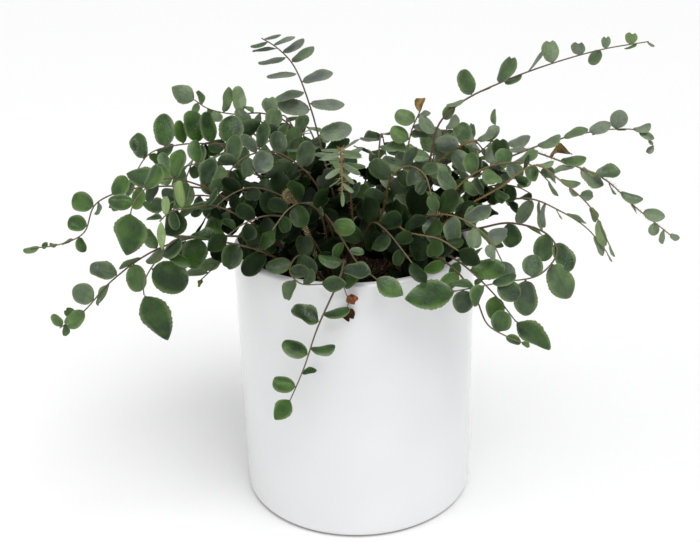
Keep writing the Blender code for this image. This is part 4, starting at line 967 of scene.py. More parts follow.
def leaflet_options(frond, line, place):
    """The ways a leaflet may be held, the natural one first, then turned and bent further away."""
    index, distance, side, share = place
    draw = random.Random(f"{SEED}-{frond.name}-leaflet-{index}")
    position = distance / STEM_STEP
    low = min(int(position), len(line) - 2)
    spot = Vector(line[low]).lerp(Vector(line[low + 1]), position - low)
    ahead = Vector(line[min(low + 2, len(line) - 1)])
    behind = Vector(line[max(low - 1, 0)])
    heading = (ahead - behind).normalized()
    if frond.name in HAND_LEAVES and index < INNER_INDEX:
        _, points, size, turned_up, *own_width = HAND_LEAVES[frond.name][index]
        along, wanted = picture_hold(points, turned_up, draw.uniform(-SWING, SWING))
        plump = own_width[0] if own_width else frond.width
        yield from ways_to_hold(spot, heading, along, wanted, size * SEEN_SHORT, plump)
        return
    face = leaf_face(frond, spot)
    plane_normal = (face - heading * face.dot(heading)).normalized()
    aside = heading.cross(plane_normal)
    forward = math.radians(draw.uniform(*FORWARD) + FORWARD_MORE * share)
    lift = draw.uniform(-LIFT, LIFT)
    roll = draw.uniform(-ROLL, ROLL)
    size = frond.leaf * draw.uniform(*SIZE_SPREAD) * (1.0 - TIP_SHRINK * share ** TIP_POWER)
    plump = frond.width * draw.uniform(*WIDTH_SPREAD)
    if side == 0:
        along = heading
        size = frond.terminal
        lift = 0.0
    else:
        along = (aside * side * math.cos(forward) + heading * math.sin(forward)).normalized()
    wanted = ((1.0 - FACE_SHARE) * plane_normal + FACE_SHARE * face).normalized()
    yield from ways_to_hold(spot, heading, along, wanted, size, plump, side, lift, roll)


def ways_to_hold(spot, heading, along, wanted, size, plump, side=1, lift=0.0, roll=0.0):
    """One way to hold a leaflet after another: place, direction, face, length and width."""
    for extra_lift, extra_roll, shrink in HOLDS:
        turned = along.copy()
        turned.rotate(Matrix.Rotation(-side * math.radians(lift + extra_lift), 3, heading))
        normal = (wanted - turned * wanted.dot(turned)).normalized()
        normal.rotate(Matrix.Rotation(math.radians(roll + extra_roll), 3, turned))
        length = size * shrink
        yield spot, turned, normal, length, length * plump


leafy = sum(len(leaf_places(frond, stem_lines[frond.name])) for frond in all_fronds)
print("places for leaflets:", leafy)

# %% [markdown]
# ## Room for every leaflet
# A search tree of triangles can say at once whether two shapes touch. Each leaflet, as a flat plate grown by
# a margin, is tried against the pot, the soil, the other stems and the leaflets before it. Those listed one
# by one go first, then those that the solids hold by rule, so both fall where the solids have them. Later
# rounds fill in the leaflets between and nearer the root, with less margin, because real leaflets all but
# touch.

# %% Plain tubes and plates
LEAF_THICKNESS = 0.62
LEAF_OUTLINE = ((0.28, 0.48), (0.77, 0.44))


def plain_tube(line, radius, sides=6):
    """Points and faces of a closed tube of one radius along a line."""
    points = [None] * (len(line) * sides)
    across = Vector((0.0, 0.0, -1.0))
    for k in reversed(range(len(line))):
        before = Vector(line[max(k - 1, 0)])
        after = Vector(line[min(k + 1, len(line) - 1)])
        heading = (after - before).normalized()
        across = (across - heading * across.dot(heading)).normalized()
        third = heading.cross(across)
        for side in range(sides):
            turn = 2.0 * math.pi * side / sides
            aside = across * math.cos(turn) + third * math.sin(turn)
            points[k * sides + side] = Vector(line[k]) + aside * radius
    return points, tube_faces(len(line), sides)


def blade_parts(spot, along, normal, length, width, grow=0.0):
    """Points and faces of one leaflet: a flat plate, narrow where it joins the stem."""
    across = normal.cross(along)
    half = LEAF_THICKNESS / 2.0 + grow
    edge = [(x * length, y * width + grow) for x, y in LEAF_OUTLINE]
    outline = [(-grow, 0.0)] + edge + [(length + grow, 0.0)] + [(x, -y) for x, y in reversed(edge)]
    count = len(outline)
    points = [spot + along * x + across * y + normal * half for x, y in outline]
    points += [spot + along * x + across * y - normal * half for x, y in outline]
    faces = [tuple(reversed(range(count))), tuple(range(count, 2 * count))]
    for k in range(count):
        after = (k + 1) % count
        faces.append((k, after, count + after, count + k))
    return points, faces


print("points of one plate:", 2 * (2 * len(LEAF_OUTLINE) + 2))

# %% What is in a leaflet's way
BOX_MARGIN = 2.0
NEAR_SHARE = 0.62
Blade = namedtuple("Blade", "frond index share at along normal length width")


class Surroundings:
    """What a leaflet has to stay clear of: the pot, the soil, other stems and the leaflets placed so far."""

    def __init__(self, fronds, lines, pot):
        radius = STEM_CLEAR_RADIUS + STEM_BEND
        self.stems = {}
        for frond in fronds:
            line = lines[frond.name]
            tree = BVHTree.FromPolygons(*plain_tube(line, radius))
            self.stems[frond.name] = (tree, line.min(axis=0) - BOX_MARGIN, line.max(axis=0) + BOX_MARGIN)
        self.pot = BVHTree.FromPolygons([v.co / MM for v in pot.data.vertices],
                                        [tuple(p.vertices) for p in pot.data.polygons])
        self.leaflets = []

    def settle(self, frond, place, options, margin):
        """Takes the first option that is clear, if there is one, and remembers it."""
        for option in options:
            spot, along, _, length, _ = option
            middle = spot + along * length * 0.5
            points, faces = blade_parts(*option, grow=margin)
            if self.is_clear(frond, points, faces, middle, length):
                self.leaflets.append((BVHTree.FromPolygons(*blade_parts(*option)), middle, length))
                return [Blade(frond.name, place[0], place[3], *option)]
        return []

    def is_clear(self, frond, points, faces, middle, length):
        """Whether a grown leaflet touches nothing but its own stem."""
        for point in points:
            if point.z < SOIL_TOP + TOUCH_GAP and math.hypot(point.x, point.y) < POT_RADIUS:
                return False
        tree = BVHTree.FromPolygons(points, faces)
        if tree.overlap(self.pot):
            return False
        low = np.min([tuple(point) for point in points], axis=0)
        high = np.max([tuple(point) for point in points], axis=0)
        for name, (stem, stem_low, stem_high) in self.stems.items():
            near = name != frond.name and np.all(high > stem_low) and np.all(low < stem_high)
            if near and tree.overlap(stem):
                return False
        for other, other_middle, other_length in self.leaflets:
            if (middle - other_middle).length < NEAR_SHARE * (length + other_length) and tree.overlap(other):
                return False
        return True


around = Surroundings(all_fronds, stem_lines, frame["nodes"]["pot"])
print("stems to stay clear of:", len(around.stems))

# %% Place the leaflets
LEAF_CLEARANCE = 0.4
FILL_CLEARANCE = 0.1
INNER_START = 16.0
RIM_BARE = 8.0


def inner_places(frond, line):
    """Places for the older leaflets, from the first of the others back towards the root."""
    length = STEM_STEP * (len(line) - 1)
    places = []
    first = HAND_LEAVES[frond.name][0][0] if frond.name in HAND_LEAVES else frond.bare
    distance = first * length - frond.pitch
    while distance > INNER_START:
        x, y, z = line[int(distance / STEM_STEP)]
        if z < POT_HEIGHT + RIM_BARE and math.hypot(x, y) > POT_RADIUS - RIM_BARE:
            distance -= frond.pitch
            continue
        places.append((INNER_INDEX + len(places), distance, 1 if len(places) % 2 else -1, 0.0))
        distance -= frond.pitch
    return places


def place_leaflets(around, chosen, margin):
    """Places one round of leaflets, the fronds taking turns."""
    placed = []
    for turn in range(max(len(places) for places in chosen.values())):
        for frond in all_fronds:
            if frond.name in chosen and turn < len(chosen[frond.name]):
                place = chosen[frond.name][turn]
                options = leaflet_options(frond, stem_lines[frond.name], place)
                placed += around.settle(frond, place, options, margin)
    return placed


def tips_first(places_of, by_hand):
    """The places of the fronds whose leaflets are, or aren't, listed one by one, from the tip inward."""
    return {frond.name: places_of(frond, stem_lines[frond.name])[::-1] for frond in all_fronds
            if (frond.name in HAND_LEAVES) == by_hand}


hand_round = tips_first(leaf_places, True)
solid_round = tips_first(solid_places, False)
fill_round = {name: [place for place in places if place not in solid_round[name]]
              for name, places in tips_first(leaf_places, False).items()}
inner_round = {frond.name: inner_places(frond, stem_lines[frond.name]) for frond in all_fronds}
hand_blades = place_leaflets(around, hand_round, LEAF_CLEARANCE)
solid_blades = place_leaflets(around, solid_round, LEAF_CLEARANCE)
fill_blades = place_leaflets(around, fill_round, FILL_CLEARANCE)
inner_blades = place_leaflets(around, inner_round, FILL_CLEARANCE)
print("leaflets laid by hand:", len(hand_blades), "by rule:", len(solid_blades), "between them:",
      len(fill_blades), "inner:", len(inner_blades))

# %% [markdown]
# ## Light in the bush
# Leaflets deep in a bush get little light, so their colour is darkened to paint that shade in. How open each
# one stands to the sky is measured with rays: from its middle, lines go out to every part of the upper half
# of the sky, the front a little more than the back, and the share that meets no other leaflet is kept to set
# its painted shade.

# %% Openness of each leaflet
SKY_LINES = 32
SKY_TURN = math.pi * (3.0 - math.sqrt(5.0))
SKY_TILT = Vector((0.0, -0.45, 0.9)).normalized()
SKY_REACH = 90.0
SKY_START = 1.5


def sky_lines():
    """Directions over half a sphere about the tilt, closest where light falls on a leaflet most squarely."""
    turn = SKY_TILT.to_track_quat("Z", "Y")
    lines = []
    for k in range(SKY_LINES):
        up = math.sqrt((k + 0.5) / SKY_LINES)
        out = math.sqrt(1.0 - up * up)
        lines.append(turn @ Vector((out * math.cos(k * SKY_TURN), out * math.sin(k * SKY_TURN), up)))
    return lines


def all_plates(blades):
    """One search tree of all the leaflets as plates."""
    points, faces = [], []
    for blade in blades:
        own_points, own_faces = blade_parts(blade.at, blade.along, blade.normal, blade.length, blade.width)
        faces += [tuple(k + len(points) for k in face) for face in own_faces]
        points += own_points
    return BVHTree.FromPolygons(points, faces)


def openness(blade, plates, lines):
    """The share of the sky that a leaflet sees past the others."""
    middle = blade.at + blade.along * blade.length * 0.5
    free = [line for line in lines if plates.ray_cast(middle + line * SKY_START, line, SKY_REACH)[0] is None]
    return len(free) / len(lines)


every_blade = hand_blades + solid_blades + fill_blades + inner_blades
plates, lines_to_sky = all_plates(every_blade), sky_lines()
open_share = {(blade.frond, blade.index): openness(blade, plates, lines_to_sky) for blade in every_blade}
shares = sorted(open_share.values())
print("open to the sky, least, middle, most:", shares[0], shares[len(shares) // 2], shares[-1])

# %% [markdown]
# ## Leaf green
# The leaflets are leathery: dark green and faintly glossy above, paler and duller beneath. The leaf shapes
# carry a map, with the base at 0 and the tip at 1, and the underside laid out beside the top, so every mark
# comes from where a point lies on the leaflet. Four numbers ride on each leaflet: how light its green is, how
# much painted grey sheen it carries, for the white sky seen in its gloss, how dry it is, and how open it
# stands to the sky, which sets its painted shade. First comes the green, uneven and overlaid with that
# painted sheen.

# %% Leaf green and bloom
leaf_green, tree, shader = new_finish("leaf_green", 0.42, Specular_IOR_Level=0.06, Subsurface_Weight=0.05,
                                      Coat_Roughness=0.27, Coat_IOR=1.45)
shader.inputs["Subsurface Radius"].default_value = (0.0008, 0.0016, 0.0004)
shader.inputs["Subsurface Scale"].default_value = 1.0


def span(tree, value, low, high, to_low=0.0, to_high=1.0):
    """A smooth step of a value between two limits."""
    return add(tree, "ShaderNodeMapRange", {"Value": value, "From Min": low, "From Max": high,
                                            "To Min": to_low, "To Max": to_high},
               interpolation_type="SMOOTHSTEP").outputs[0]


def attribute(tree, name):
    """The value of an attribute that each leaflet or stem carries."""
    return add(tree, "ShaderNodeAttribute", attribute_name=name).outputs["Fac"]


leaf_uv = add(tree, "ShaderNodeUVMap", uv_map="leaf_uv").outputs["UV"]
leaf_map = add(tree, "ShaderNodeSeparateXYZ", {0: leaf_uv})
beneath = work_out(tree, "GREATER_THAN", leaf_map.outputs["X"], 1.0)
lengthwise = work_out(tree, "FRACT", leaf_map.outputs["X"])
centred = work_out(tree, "SUBTRACT", leaf_map.outputs["Y"], 0.5)
off_middle = times(tree, work_out(tree, "ABSOLUTE", centred), 2.0)

mottle = object_noise(tree, 230.0, 4.0, 0.6)
patches = object_noise(tree, 640.0, 2.0)
slow = object_noise(tree, 95.0, 1.0)
varied = plus(tree, span(tree, mottle, 0.32, 0.68, -0.08, 0.08), span(tree, slow, 0.35, 0.65, -0.12, 0.12))
shift = plus(tree, attribute(tree, "tint"), varied)
green = ramp(tree, shift, [(0.0, (0.015, 0.038, 0.010)), (0.25, (0.034, 0.088, 0.013)),
                           (0.6, (0.084, 0.176, 0.021)), (1.0, (0.220, 0.335, 0.070))])
# Painted sheen: the grey blended over the green stands for the white sky seen in the leathery gloss.
sheen_amount = times(tree, attribute(tree, "bloom"), span(tree, mottle, 0.3, 0.7, 0.80, 1.0))
sheen_grey = ramp(tree, shift, [(0.0, (0.112, 0.124, 0.122)), (0.3, (0.165, 0.196, 0.148)),
                            (0.8, (0.240, 0.280, 0.200))])
sheened = blend_colours(tree, sheen_amount, green, sheen_grey)
print("nodes for the green:", len(tree.nodes))

# %% [markdown]
# ## Margin, midrib, underside and withering
# Each mark is a smooth step along the map or across it, and blends one more colour over the last. The
# pale edge is partly the leaflet's own margin and partly a painted sheen where the rim catches the sky. The
# underside is the same leaf, paler. A dry leaflet is straw brown, and one whose sheen-and-gold number is full
# turns to rust instead. Last the whole is darkened where the leaflet sees little of the sky: this is painted
# shade, because light hardly reaches the middle of a bush.

# %% Leaf marks and painted shade
EDGE_PALE_AND_SHEEN = 0.65
UNDERSIDE_PALE = 0.45
UNDERSIDE_ROUGHER = 0.2
MOST_GLOSS = 0.60

near_end = work_out(tree, "POWER", lengthwise, 6.0)
near_edge = work_out(tree, "MAXIMUM", off_middle, near_end)
# The paler edge: partly the leaflet's own margin, partly a painted sheen where the rim catches the sky.
margin = times(tree, span(tree, near_edge, 0.60, 1.0), EDGE_PALE_AND_SHEEN)
edged = blend_colours(tree, margin, sheened, (0.170, 0.225, 0.100, 1.0))
midrib = times(tree, span(tree, off_middle, 0.02, 0.14, 1.0, 0.0),
               span(tree, lengthwise, 0.4, 0.9, 0.28, 0.0))
ribbed = blend_colours(tree, midrib, edged, (0.036, 0.060, 0.020, 1.0))
stalk = span(tree, lengthwise, 0.05, 0.11, 1.0, 0.0)
stalked = blend_colours(tree, stalk, ribbed, (0.110, 0.070, 0.035, 1.0))
pale = blend_colours(tree, UNDERSIDE_PALE, stalked, (0.100, 0.140, 0.070, 1.0))
sides = blend_colours(tree, beneath, stalked, pale)
straw = ramp(tree, plus(tree, mottle, times(tree, near_edge, -0.15)),
             [(0.25, (0.090, 0.038, 0.010)), (0.5, (0.235, 0.120, 0.022)), (0.7, (0.360, 0.240, 0.060))])
rust = ramp(tree, patches, [(0.35, (0.070, 0.018, 0.006)), (0.6, (0.270, 0.080, 0.020))])
withered = blend_colours(tree, attribute(tree, "bloom"), straw, rust)
dried = blend_colours(tree, attribute(tree, "dry"), sides, withered)
# Painted shade: the colour is darkened where the leaflet sees little of the sky.
light = attribute(tree, "open")
shade = ramp(tree, light, [(0.02, (0.01, 0.015, 0.005)), (0.22, (0.06, 0.09, 0.04)),
                           (0.45, (0.50, 0.58, 0.40)), (0.72, (1.0, 1.0, 1.0))])
tree.links.new(blend_colours(tree, 1.0, dried, shade, "MULTIPLY"), shader.inputs["Base Color"])
on_top = work_out(tree, "SUBTRACT", 1.0, beneath)
gloss = times(tree, span(tree, light, 0.15, 0.6, 0.0, MOST_GLOSS), on_top)
tree.links.new(gloss, shader.inputs["Coat Weight"])
rough = plus(tree, span(tree, mottle, 0.2, 0.8, 0.40, 0.56), times(tree, beneath, UNDERSIDE_ROUGHER))
tree.links.new(rough, shader.inputs["Roughness"])
print("nodes with the marks:", len(tree.nodes))

# %% [markdown]
# ## Veins and leather
# Pairs of side veins leave the midrib and slant to the tip. A wave that folds back and forth along the
# leaflet, and lags behind towards the edge, draws them all at once. Veins and midrib are pressed in, and two
# noises add the leather's grain and its soft lumps. It is relief only, so the outline of the leaflet stays as
# it was made.

# %% Leaf relief
VEIN_PAIRS = 9.0
VEIN_SLANT = 1.6
VEIN_WIDTH = 0.14
VEIN_DEPTH = 0.22
GRAIN_HEIGHT = 0.35
LUMP_HEIGHT = 1.1

vein_phase = work_out(tree, "SUBTRACT", times(tree, lengthwise, VEIN_PAIRS),
                      times(tree, off_middle, VEIN_SLANT))
vein = span(tree, work_out(tree, "PINGPONG", vein_phase, 0.5), 0.0, VEIN_WIDTH, 1.0, 0.0)
grain = times(tree, object_noise(tree, 1400.0, 3.0), GRAIN_HEIGHT)
pressed = times(tree, plus(tree, vein, midrib), -VEIN_DEPTH)
lumps = times(tree, patches, LUMP_HEIGHT)
normal = raised(tree, shader, plus(tree, plus(tree, grain, pressed), lumps), 0.5, 0.0004)
tree.links.new(normal, shader.inputs["Coat Normal"])
print("leaf nodes:", len(tree.nodes))

# %% [markdown]
# ## Stem brown
# The stems are wiry, dark brown where they leave the soil and paler, almost straw green, near the tip; the
# darkening towards the soil is partly their own colour and partly painted shade, for the dark heart of the
# bush. They carry short tan hairs, longest on the lower part. A number along each stem drives the change of
# colour, and on some fronds the stem is more golden. The youngest growth has a paler down.

# %% Stem and hair materials
stem_brown, tree, shader = new_finish("stem_brown", 0.5)
streak = object_noise(tree, 600.0, 3.0)
mixed = plus(tree, attribute(tree, "way"), span(tree, streak, 0.3, 0.7, -0.12, 0.12))
# Darker towards the root: partly the stem's own brown, partly painted shade from the heart of the bush.
brown = ramp(tree, mixed, [(0.0, (0.036, 0.020, 0.008)), (0.35, (0.090, 0.052, 0.022)),
                           (0.75, (0.098, 0.068, 0.036)), (1.0, (0.120, 0.112, 0.050))])
golden = ramp(tree, mixed, [(0.0, (0.080, 0.045, 0.014)), (0.4, (0.230, 0.140, 0.045)),
                            (1.0, (0.150, 0.130, 0.060))])
tree.links.new(blend_colours(tree, attribute(tree, "bloom"), brown, golden), shader.inputs["Base Color"])
raised(tree, shader, streak, 0.4, 0.0002)


def hair_finish(name, roughness, dark, light):
    """A finish for fine hairs, uneven between two colours."""
    material, tree, shader = new_finish(name, roughness)
    uneven = ramp(tree, object_noise(tree, 500.0, 2.0), [(0.3, dark), (0.7, light)])
    tree.links.new(uneven, shader.inputs["Base Color"])
    return material


down_pale = hair_finish("down_pale", 0.8, (0.55, 0.46, 0.25), (0.82, 0.72, 0.45))
hair_tan = hair_finish("hair_tan", 0.7, (0.25, 0.150, 0.062), (0.42, 0.285, 0.140))
print("finishes so far:", [material.name for material in bpy.data.materials])

# %% [markdown]
# ## Leaf shapes
# No two leaflets are alike, yet all follow one plan: a short stalk, a rounded base, a full body and a blunt
# or pointed tip, on some with a notch in it. Each shape is a thin closed shell, curved along and across, and
# the edge where its sides meet is kept sharp so light catches it. A few shapes, turned and sized differently,
# are enough for hundreds of leaflets. Large and end leaflets have a toothed edge, with more points to draw
# it. The last two shapes are a curled, lopsided one for dry leaflets and one with a deep notch, like a heart.

# %% How a leaf shape is made
LEAF_SHELL = 0.034
STALK_SHARE = 0.055
STALK_START = 0.03
STALK_HALF_WIDTH = 0.028
MAP_MARGIN = 0.01
COLUMNS = (-1.0, -0.5, 0.0, 0.5, 1.0)
NOTCH_START = 0.8
LeafPlan = namedtuple(
    "LeafPlan", "stations widest fullness tip cup droop wave lean teeth depth notch wobble crease",
    defaults=(10, 0.42, 2.4, 1.0, -0.05, -0.06, 0.02, 0.0, 0, 0.0, 0.0, 0.04, -0.045))


def half_width(plan, share):
    """Half the width of a leaflet at a share of its length, 0.5 at its widest."""
    if share <= STALK_SHARE:
        return STALK_HALF_WIDTH
    reach = (share - STALK_SHARE) / (1.0 - STALK_SHARE)
    if reach < plan.widest:
        away = 1.0 - reach / plan.widest
    else:
        away = (reach - plan.widest) / (1.0 - plan.widest)
    body = (1.0 - away ** plan.fullness) ** plan.tip
    return max(STALK_HALF_WIDTH, 0.5 * body)


def leaf_stations(plan):
    """Shares of the length where a leaflet is drawn, closer together at both ends."""
    inner = [0.5 - 0.5 * math.cos(math.pi * k / plan.stations) for k in range(1, plan.stations)]
    return [STALK_START] + [STALK_SHARE + (1.0 - STALK_SHARE) * share for share in inner]


def leaf_shape(name, plan):
    """A leaflet one unit long and one wide, as a thin closed shell with its own map."""
    points, maps = [(0.0, 0.0, 0.0)], [(0.0, 0.5)]
    sides = {1: [], -1: []}
    for row, share in enumerate(leaf_stations(plan)):
        width = half_width(plan, share)
        if plan.teeth and share > STALK_SHARE:
            width *= 1.0 - plan.depth * (1.0 - (plan.teeth * share) % 1.0)
        near_tip = max(0.0, (share - NOTCH_START) / (1.0 - NOTCH_START))
        for side in (1, -1):
            line = []
            for column in COLUMNS:
                if side == -1 and abs(column) == 1.0:
                    line.append(sides[1][row][0 if column < 0 else -1])
                    continue
                y = column * width * (1.0 + plan.wobble * math.sin(8.0 * share + 2.5 * column))
                shell = 0.5 * LEAF_SHELL * (1.0 - column ** 2) * side
                bend = plan.cup * (2.0 * y) ** 2 + plan.droop * share ** 2
                bend += plan.wave * math.sin(9.0 * share + 2.0 * column) * abs(column)
                fold = plan.crease * (1.0 - abs(column)) * math.sin(math.pi * share)
                notch = plan.notch * (1.0 - abs(column)) * near_tip ** 2
                points.append((share - notch, y + plan.lean * math.sin(math.pi * share), bend + shell + fold))
                maps.append((share, 0.5 + 0.5 * column))
                line.append(len(points) - 1)
            sides[side].append(line)
    points.append((1.0 - plan.notch, 0.0, plan.droop))
    maps.append((1.0, 0.5))
    tip = len(points) - 1
    faces, beneath = [], []
    strips = range(len(COLUMNS) - 1)
    for side in (1, -1):
        rows = sides[side]
        strip = [(0, rows[0][k], rows[0][k + 1]) for k in strips]
        strip += [(low[k], high[k], high[k + 1], low[k + 1])
                  for low, high in zip(rows, rows[1:]) for k in strips]
        strip += [(rows[-1][k], tip, rows[-1][k + 1]) for k in strips]
        faces += strip if side == 1 else [tuple(reversed(face)) for face in strip]
        beneath += [side == -1] * len(strip)
    mesh = bpy.data.meshes.new(name)
    mesh.from_pydata(points, [], faces)
    layer = mesh.uv_layers.new(name="leaf_uv")
    for face, under in zip(mesh.polygons, beneath):
        for loop in face.loop_indices:
            u, v = maps[mesh.loops[loop].vertex_index]
            layer.data[loop].uv = (MAP_MARGIN + (1.0 - 2.0 * MAP_MARGIN) * u + under, v)
    mesh.shade_smooth()
    rim = mesh.attributes.new("sharp_edge", "BOOLEAN", "EDGE")
    border = {0, tip} | {row[0] for row in sides[1]} | {row[-1] for row in sides[1]}
    for edge in mesh.edges:
        if edge.vertices[0] in border and edge.vertices[1] in border:
            rim.data[edge.index].value = True
    return bpy.data.objects.new(name, mesh)


print("stations of a plain leaf:", [round(share, 2) for share in leaf_stations(LeafPlan())])

# %% The leaf shapes
LEAF_PLANS = (
    LeafPlan(widest=0.48, fullness=2.5, tip=0.46, cup=-0.12, droop=-0.08),
    LeafPlan(widest=0.44, fullness=2.3, tip=0.50, cup=-0.09, droop=-0.12, lean=0.02),
    LeafPlan(widest=0.52, fullness=2.6, tip=0.44, cup=-0.14, droop=-0.04, wave=0.03),
    LeafPlan(widest=0.42, fullness=2.3, tip=0.50, cup=-0.06, droop=-0.14, lean=-0.02),
    LeafPlan(widest=0.54, fullness=2.4, tip=0.46, cup=0.05, droop=-0.06, wave=0.03, crease=-0.09),
    LeafPlan(widest=0.46, fullness=2.2, tip=0.52, cup=-0.10, droop=0.04, lean=0.03, crease=0.02),
    LeafPlan(widest=0.56, fullness=2.4, tip=0.44, cup=-0.10, droop=-0.06, notch=0.10, wobble=0.07),
    LeafPlan(widest=0.42, fullness=2.4, tip=0.47, cup=0.07, droop=-0.10, notch=0.05, lean=-0.03, wobble=0.06),
    LeafPlan(36, widest=0.40, fullness=1.8, tip=0.76, cup=-0.08, droop=-0.08, wave=0.03, teeth=15,
             depth=0.10),
    LeafPlan(36, widest=0.48, fullness=2.4, tip=0.48, cup=-0.08, droop=-0.05, wave=0.03, teeth=15,
             depth=0.075),
    LeafPlan(36, widest=0.52, fullness=2.4, tip=0.47, cup=0.06, droop=-0.07, wave=0.04, lean=0.02, teeth=15,
             depth=0.075),
    LeafPlan(widest=0.45, fullness=2.0, tip=0.60, cup=0.22, droop=-0.14, wave=0.07, lean=0.34, wobble=0.09,
             crease=0.04),
    LeafPlan(widest=0.60, fullness=2.2, tip=0.42, cup=-0.08, droop=-0.05, notch=0.24, wobble=0.05),
)
PLAIN_SHAPES = 8
NOTCHED_SHAPE = 6
END_SHAPE = 8
LARGE_SHAPES = (9, 10)
DRY_SHAPE = 11
HEART_SHAPE = 12
leaf_shelf = bpy.data.collections.new("leaf_shelf")
for number, plan in enumerate(LEAF_PLANS):
    leaf_shelf.objects.link(leaf_shape(f"leaf_{number}", plan))
print("faces of each leaf shape:", [len(o.data.polygons) for o in leaf_shelf.objects])

# %% [markdown]
# ## The frond tree
# One node tree dresses every frond. It is given a mesh of facts: the points of the stem joined by edges, and
# a lone point for each leaflet with its direction, size and shape. The tree turns the edges into a curve and
# sweeps a circle along it, puts a leaf shape on each lone point, sets short hairs round the stem, and makes
# it all real.

# %% Frond tree
HAIR_THICKNESS = 0.05
HAIR_SPREAD = (0.7, 1.4)
HAIR_WEAR = (0.3, 0.8)
HAIR_LEAN = (0.9, 1.5)


def hair_shape():
    """One hair: a thin closed spike one unit long."""
    mesh = bpy.data.meshes.new("hair")
    ring = [(HAIR_THICKNESS * math.cos(a), HAIR_THICKNESS * math.sin(a), 0.0) for a in (0.0, 2.1, 4.2)]
    mesh.from_pydata(ring + [(0.0, 0.0, 1.0)], [], [(0, 2, 1), (0, 1, 3), (1, 2, 3), (2, 0, 3)])
    return bpy.data.objects.new("hair", mesh)


def named(tree, name, kind="FLOAT"):
    """The value of a named attribute."""
    return add(tree, "GeometryNodeInputNamedAttribute", {"Name": name}, data_type=kind).outputs["Attribute"]


def frond_tree():
    """Sweeps the stem, sets the hairs and hangs the leaflets of one frond."""
    tree, start, end = new_tree("frond", {
        "Leaf Shapes": ("NodeSocketCollection", None), "Hair": ("NodeSocketObject", None),
        "Stem Sides": ("NodeSocketInt", 8), "Hair Gap": ("NodeSocketFloat", 0.001),
        "Hair Length": ("NodeSocketFloat", 0.0013), "Hair At Tip": ("NodeSocketFloat", 0.3),
        "Seed": ("NodeSocketInt", 1), "Leaf Material": ("NodeSocketMaterial", None),
        "Stem Material": ("NodeSocketMaterial", None), "Hair Material": ("NodeSocketMaterial", None)})
    given = start.outputs
    is_leaf = add(tree, "FunctionNodeCompare", {"A": named(tree, "is_leaf"), "B": 0.5},
                  operation="GREATER_THAN").outputs[0]
    parts = add(tree, "GeometryNodeSeparateGeometry", {"Geometry": given["Geometry"], "Selection": is_leaf})
    curve = add(tree, "GeometryNodeMeshToCurve", {"Mesh": parts.outputs["Inverted"]}).outputs["Curve"]
    ring = add(tree, "GeometryNodeCurvePrimitiveCircle", {"Resolution": given["Stem Sides"], "Radius": 1.0})
    tube = add(tree, "GeometryNodeCurveToMesh", {"Curve": curve, "Profile Curve": ring.outputs["Curve"],
                                                 "Scale": named(tree, "thick"), "Fill Caps": True})
    smooth = add(tree, "GeometryNodeSetShadeSmooth", {"Geometry": tube.outputs["Mesh"]})
    stem = add(tree, "GeometryNodeSetMaterial", {"Geometry": smooth.outputs["Geometry"],
                                                 "Material": given["Stem Material"]})

    leaves = add(tree, "GeometryNodeCollectionInfo",
                 {"Collection": given["Leaf Shapes"], "Separate Children": True, "Reset Children": True})
    turn = add(tree, "FunctionNodeAxesToRotation", {"Primary Axis": named(tree, "along", "FLOAT_VECTOR"),
                                                    "Secondary Axis": named(tree, "facing", "FLOAT_VECTOR")},
               primary_axis="X", secondary_axis="Z")
    hung = add(tree, "GeometryNodeInstanceOnPoints",
               {"Points": parts.outputs["Selection"], "Instance": leaves.outputs["Instances"],
                "Pick Instance": True, "Instance Index": named(tree, "shape", "INT"),
                "Rotation": turn.outputs["Rotation"], "Scale": named(tree, "size", "FLOAT_VECTOR")})

    roots = add(tree, "GeometryNodeCurveToPoints", {"Curve": curve, "Length": given["Hair Gap"]},
                mode="LENGTH")
    spike = add(tree, "GeometryNodeObjectInfo", {"Object": given["Hair"]}).outputs["Geometry"]
    spread = add(tree, "FunctionNodeRandomValue",
                 {2: HAIR_SPREAD[0], 3: HAIR_SPREAD[1], "Seed": given["Seed"]}, data_type="FLOAT").outputs[1]
    wear = add(tree, "ShaderNodeMapRange", {"Value": named(tree, "way"), "From Min": HAIR_WEAR[0],
                                            "From Max": HAIR_WEAR[1], "To Min": 1.0,
                                            "To Max": given["Hair At Tip"]}).outputs[0]
    size = times(tree, times(tree, spread, given["Hair Length"]), wear)
    spikes = add(tree, "GeometryNodeInstanceOnPoints", {"Points": roots.outputs["Points"], "Instance": spike,
                                                        "Rotation": roots.outputs["Rotation"], "Scale": size})
    spin = add(tree, "FunctionNodeRandomValue",
               {"Min": (HAIR_LEAN[0], 0.0, 0.0), "Max": (HAIR_LEAN[1], 0.0, 6.283), "Seed": given["Seed"]},
               data_type="FLOAT_VECTOR").outputs[0]
    bristling = add(tree, "GeometryNodeRotateInstances", {"Instances": spikes.outputs["Instances"],
                                                          "Rotation": spin})

    joined = add(tree, "GeometryNodeJoinGeometry")
    for part in (made_real(tree, bristling, given["Hair Material"]),
                 made_real(tree, hung, given["Leaf Material"]), stem.outputs["Geometry"]):
        tree.links.new(part, joined.inputs["Geometry"])
    tree.links.new(joined.outputs["Geometry"], end.inputs["Geometry"])
    return tree


dress_frond = frond_tree()
hair = hair_shape()
print("nodes in the frond tree:", len(dress_frond.nodes))

# %% [markdown]
# ## The look of each frond
# Fronds on the crown are painted with a pale grey sheen and painted lighter, those that hang on the left are
# a fresh green, and those under the others are painted dark. A look is three numbers: how light the green is,
# how much painted sheen lies on it, and how far its painted shade is lifted towards full light or pushed
# deeper.
# A few leaflets differ from their frond, in look or in shape, and three are drying.

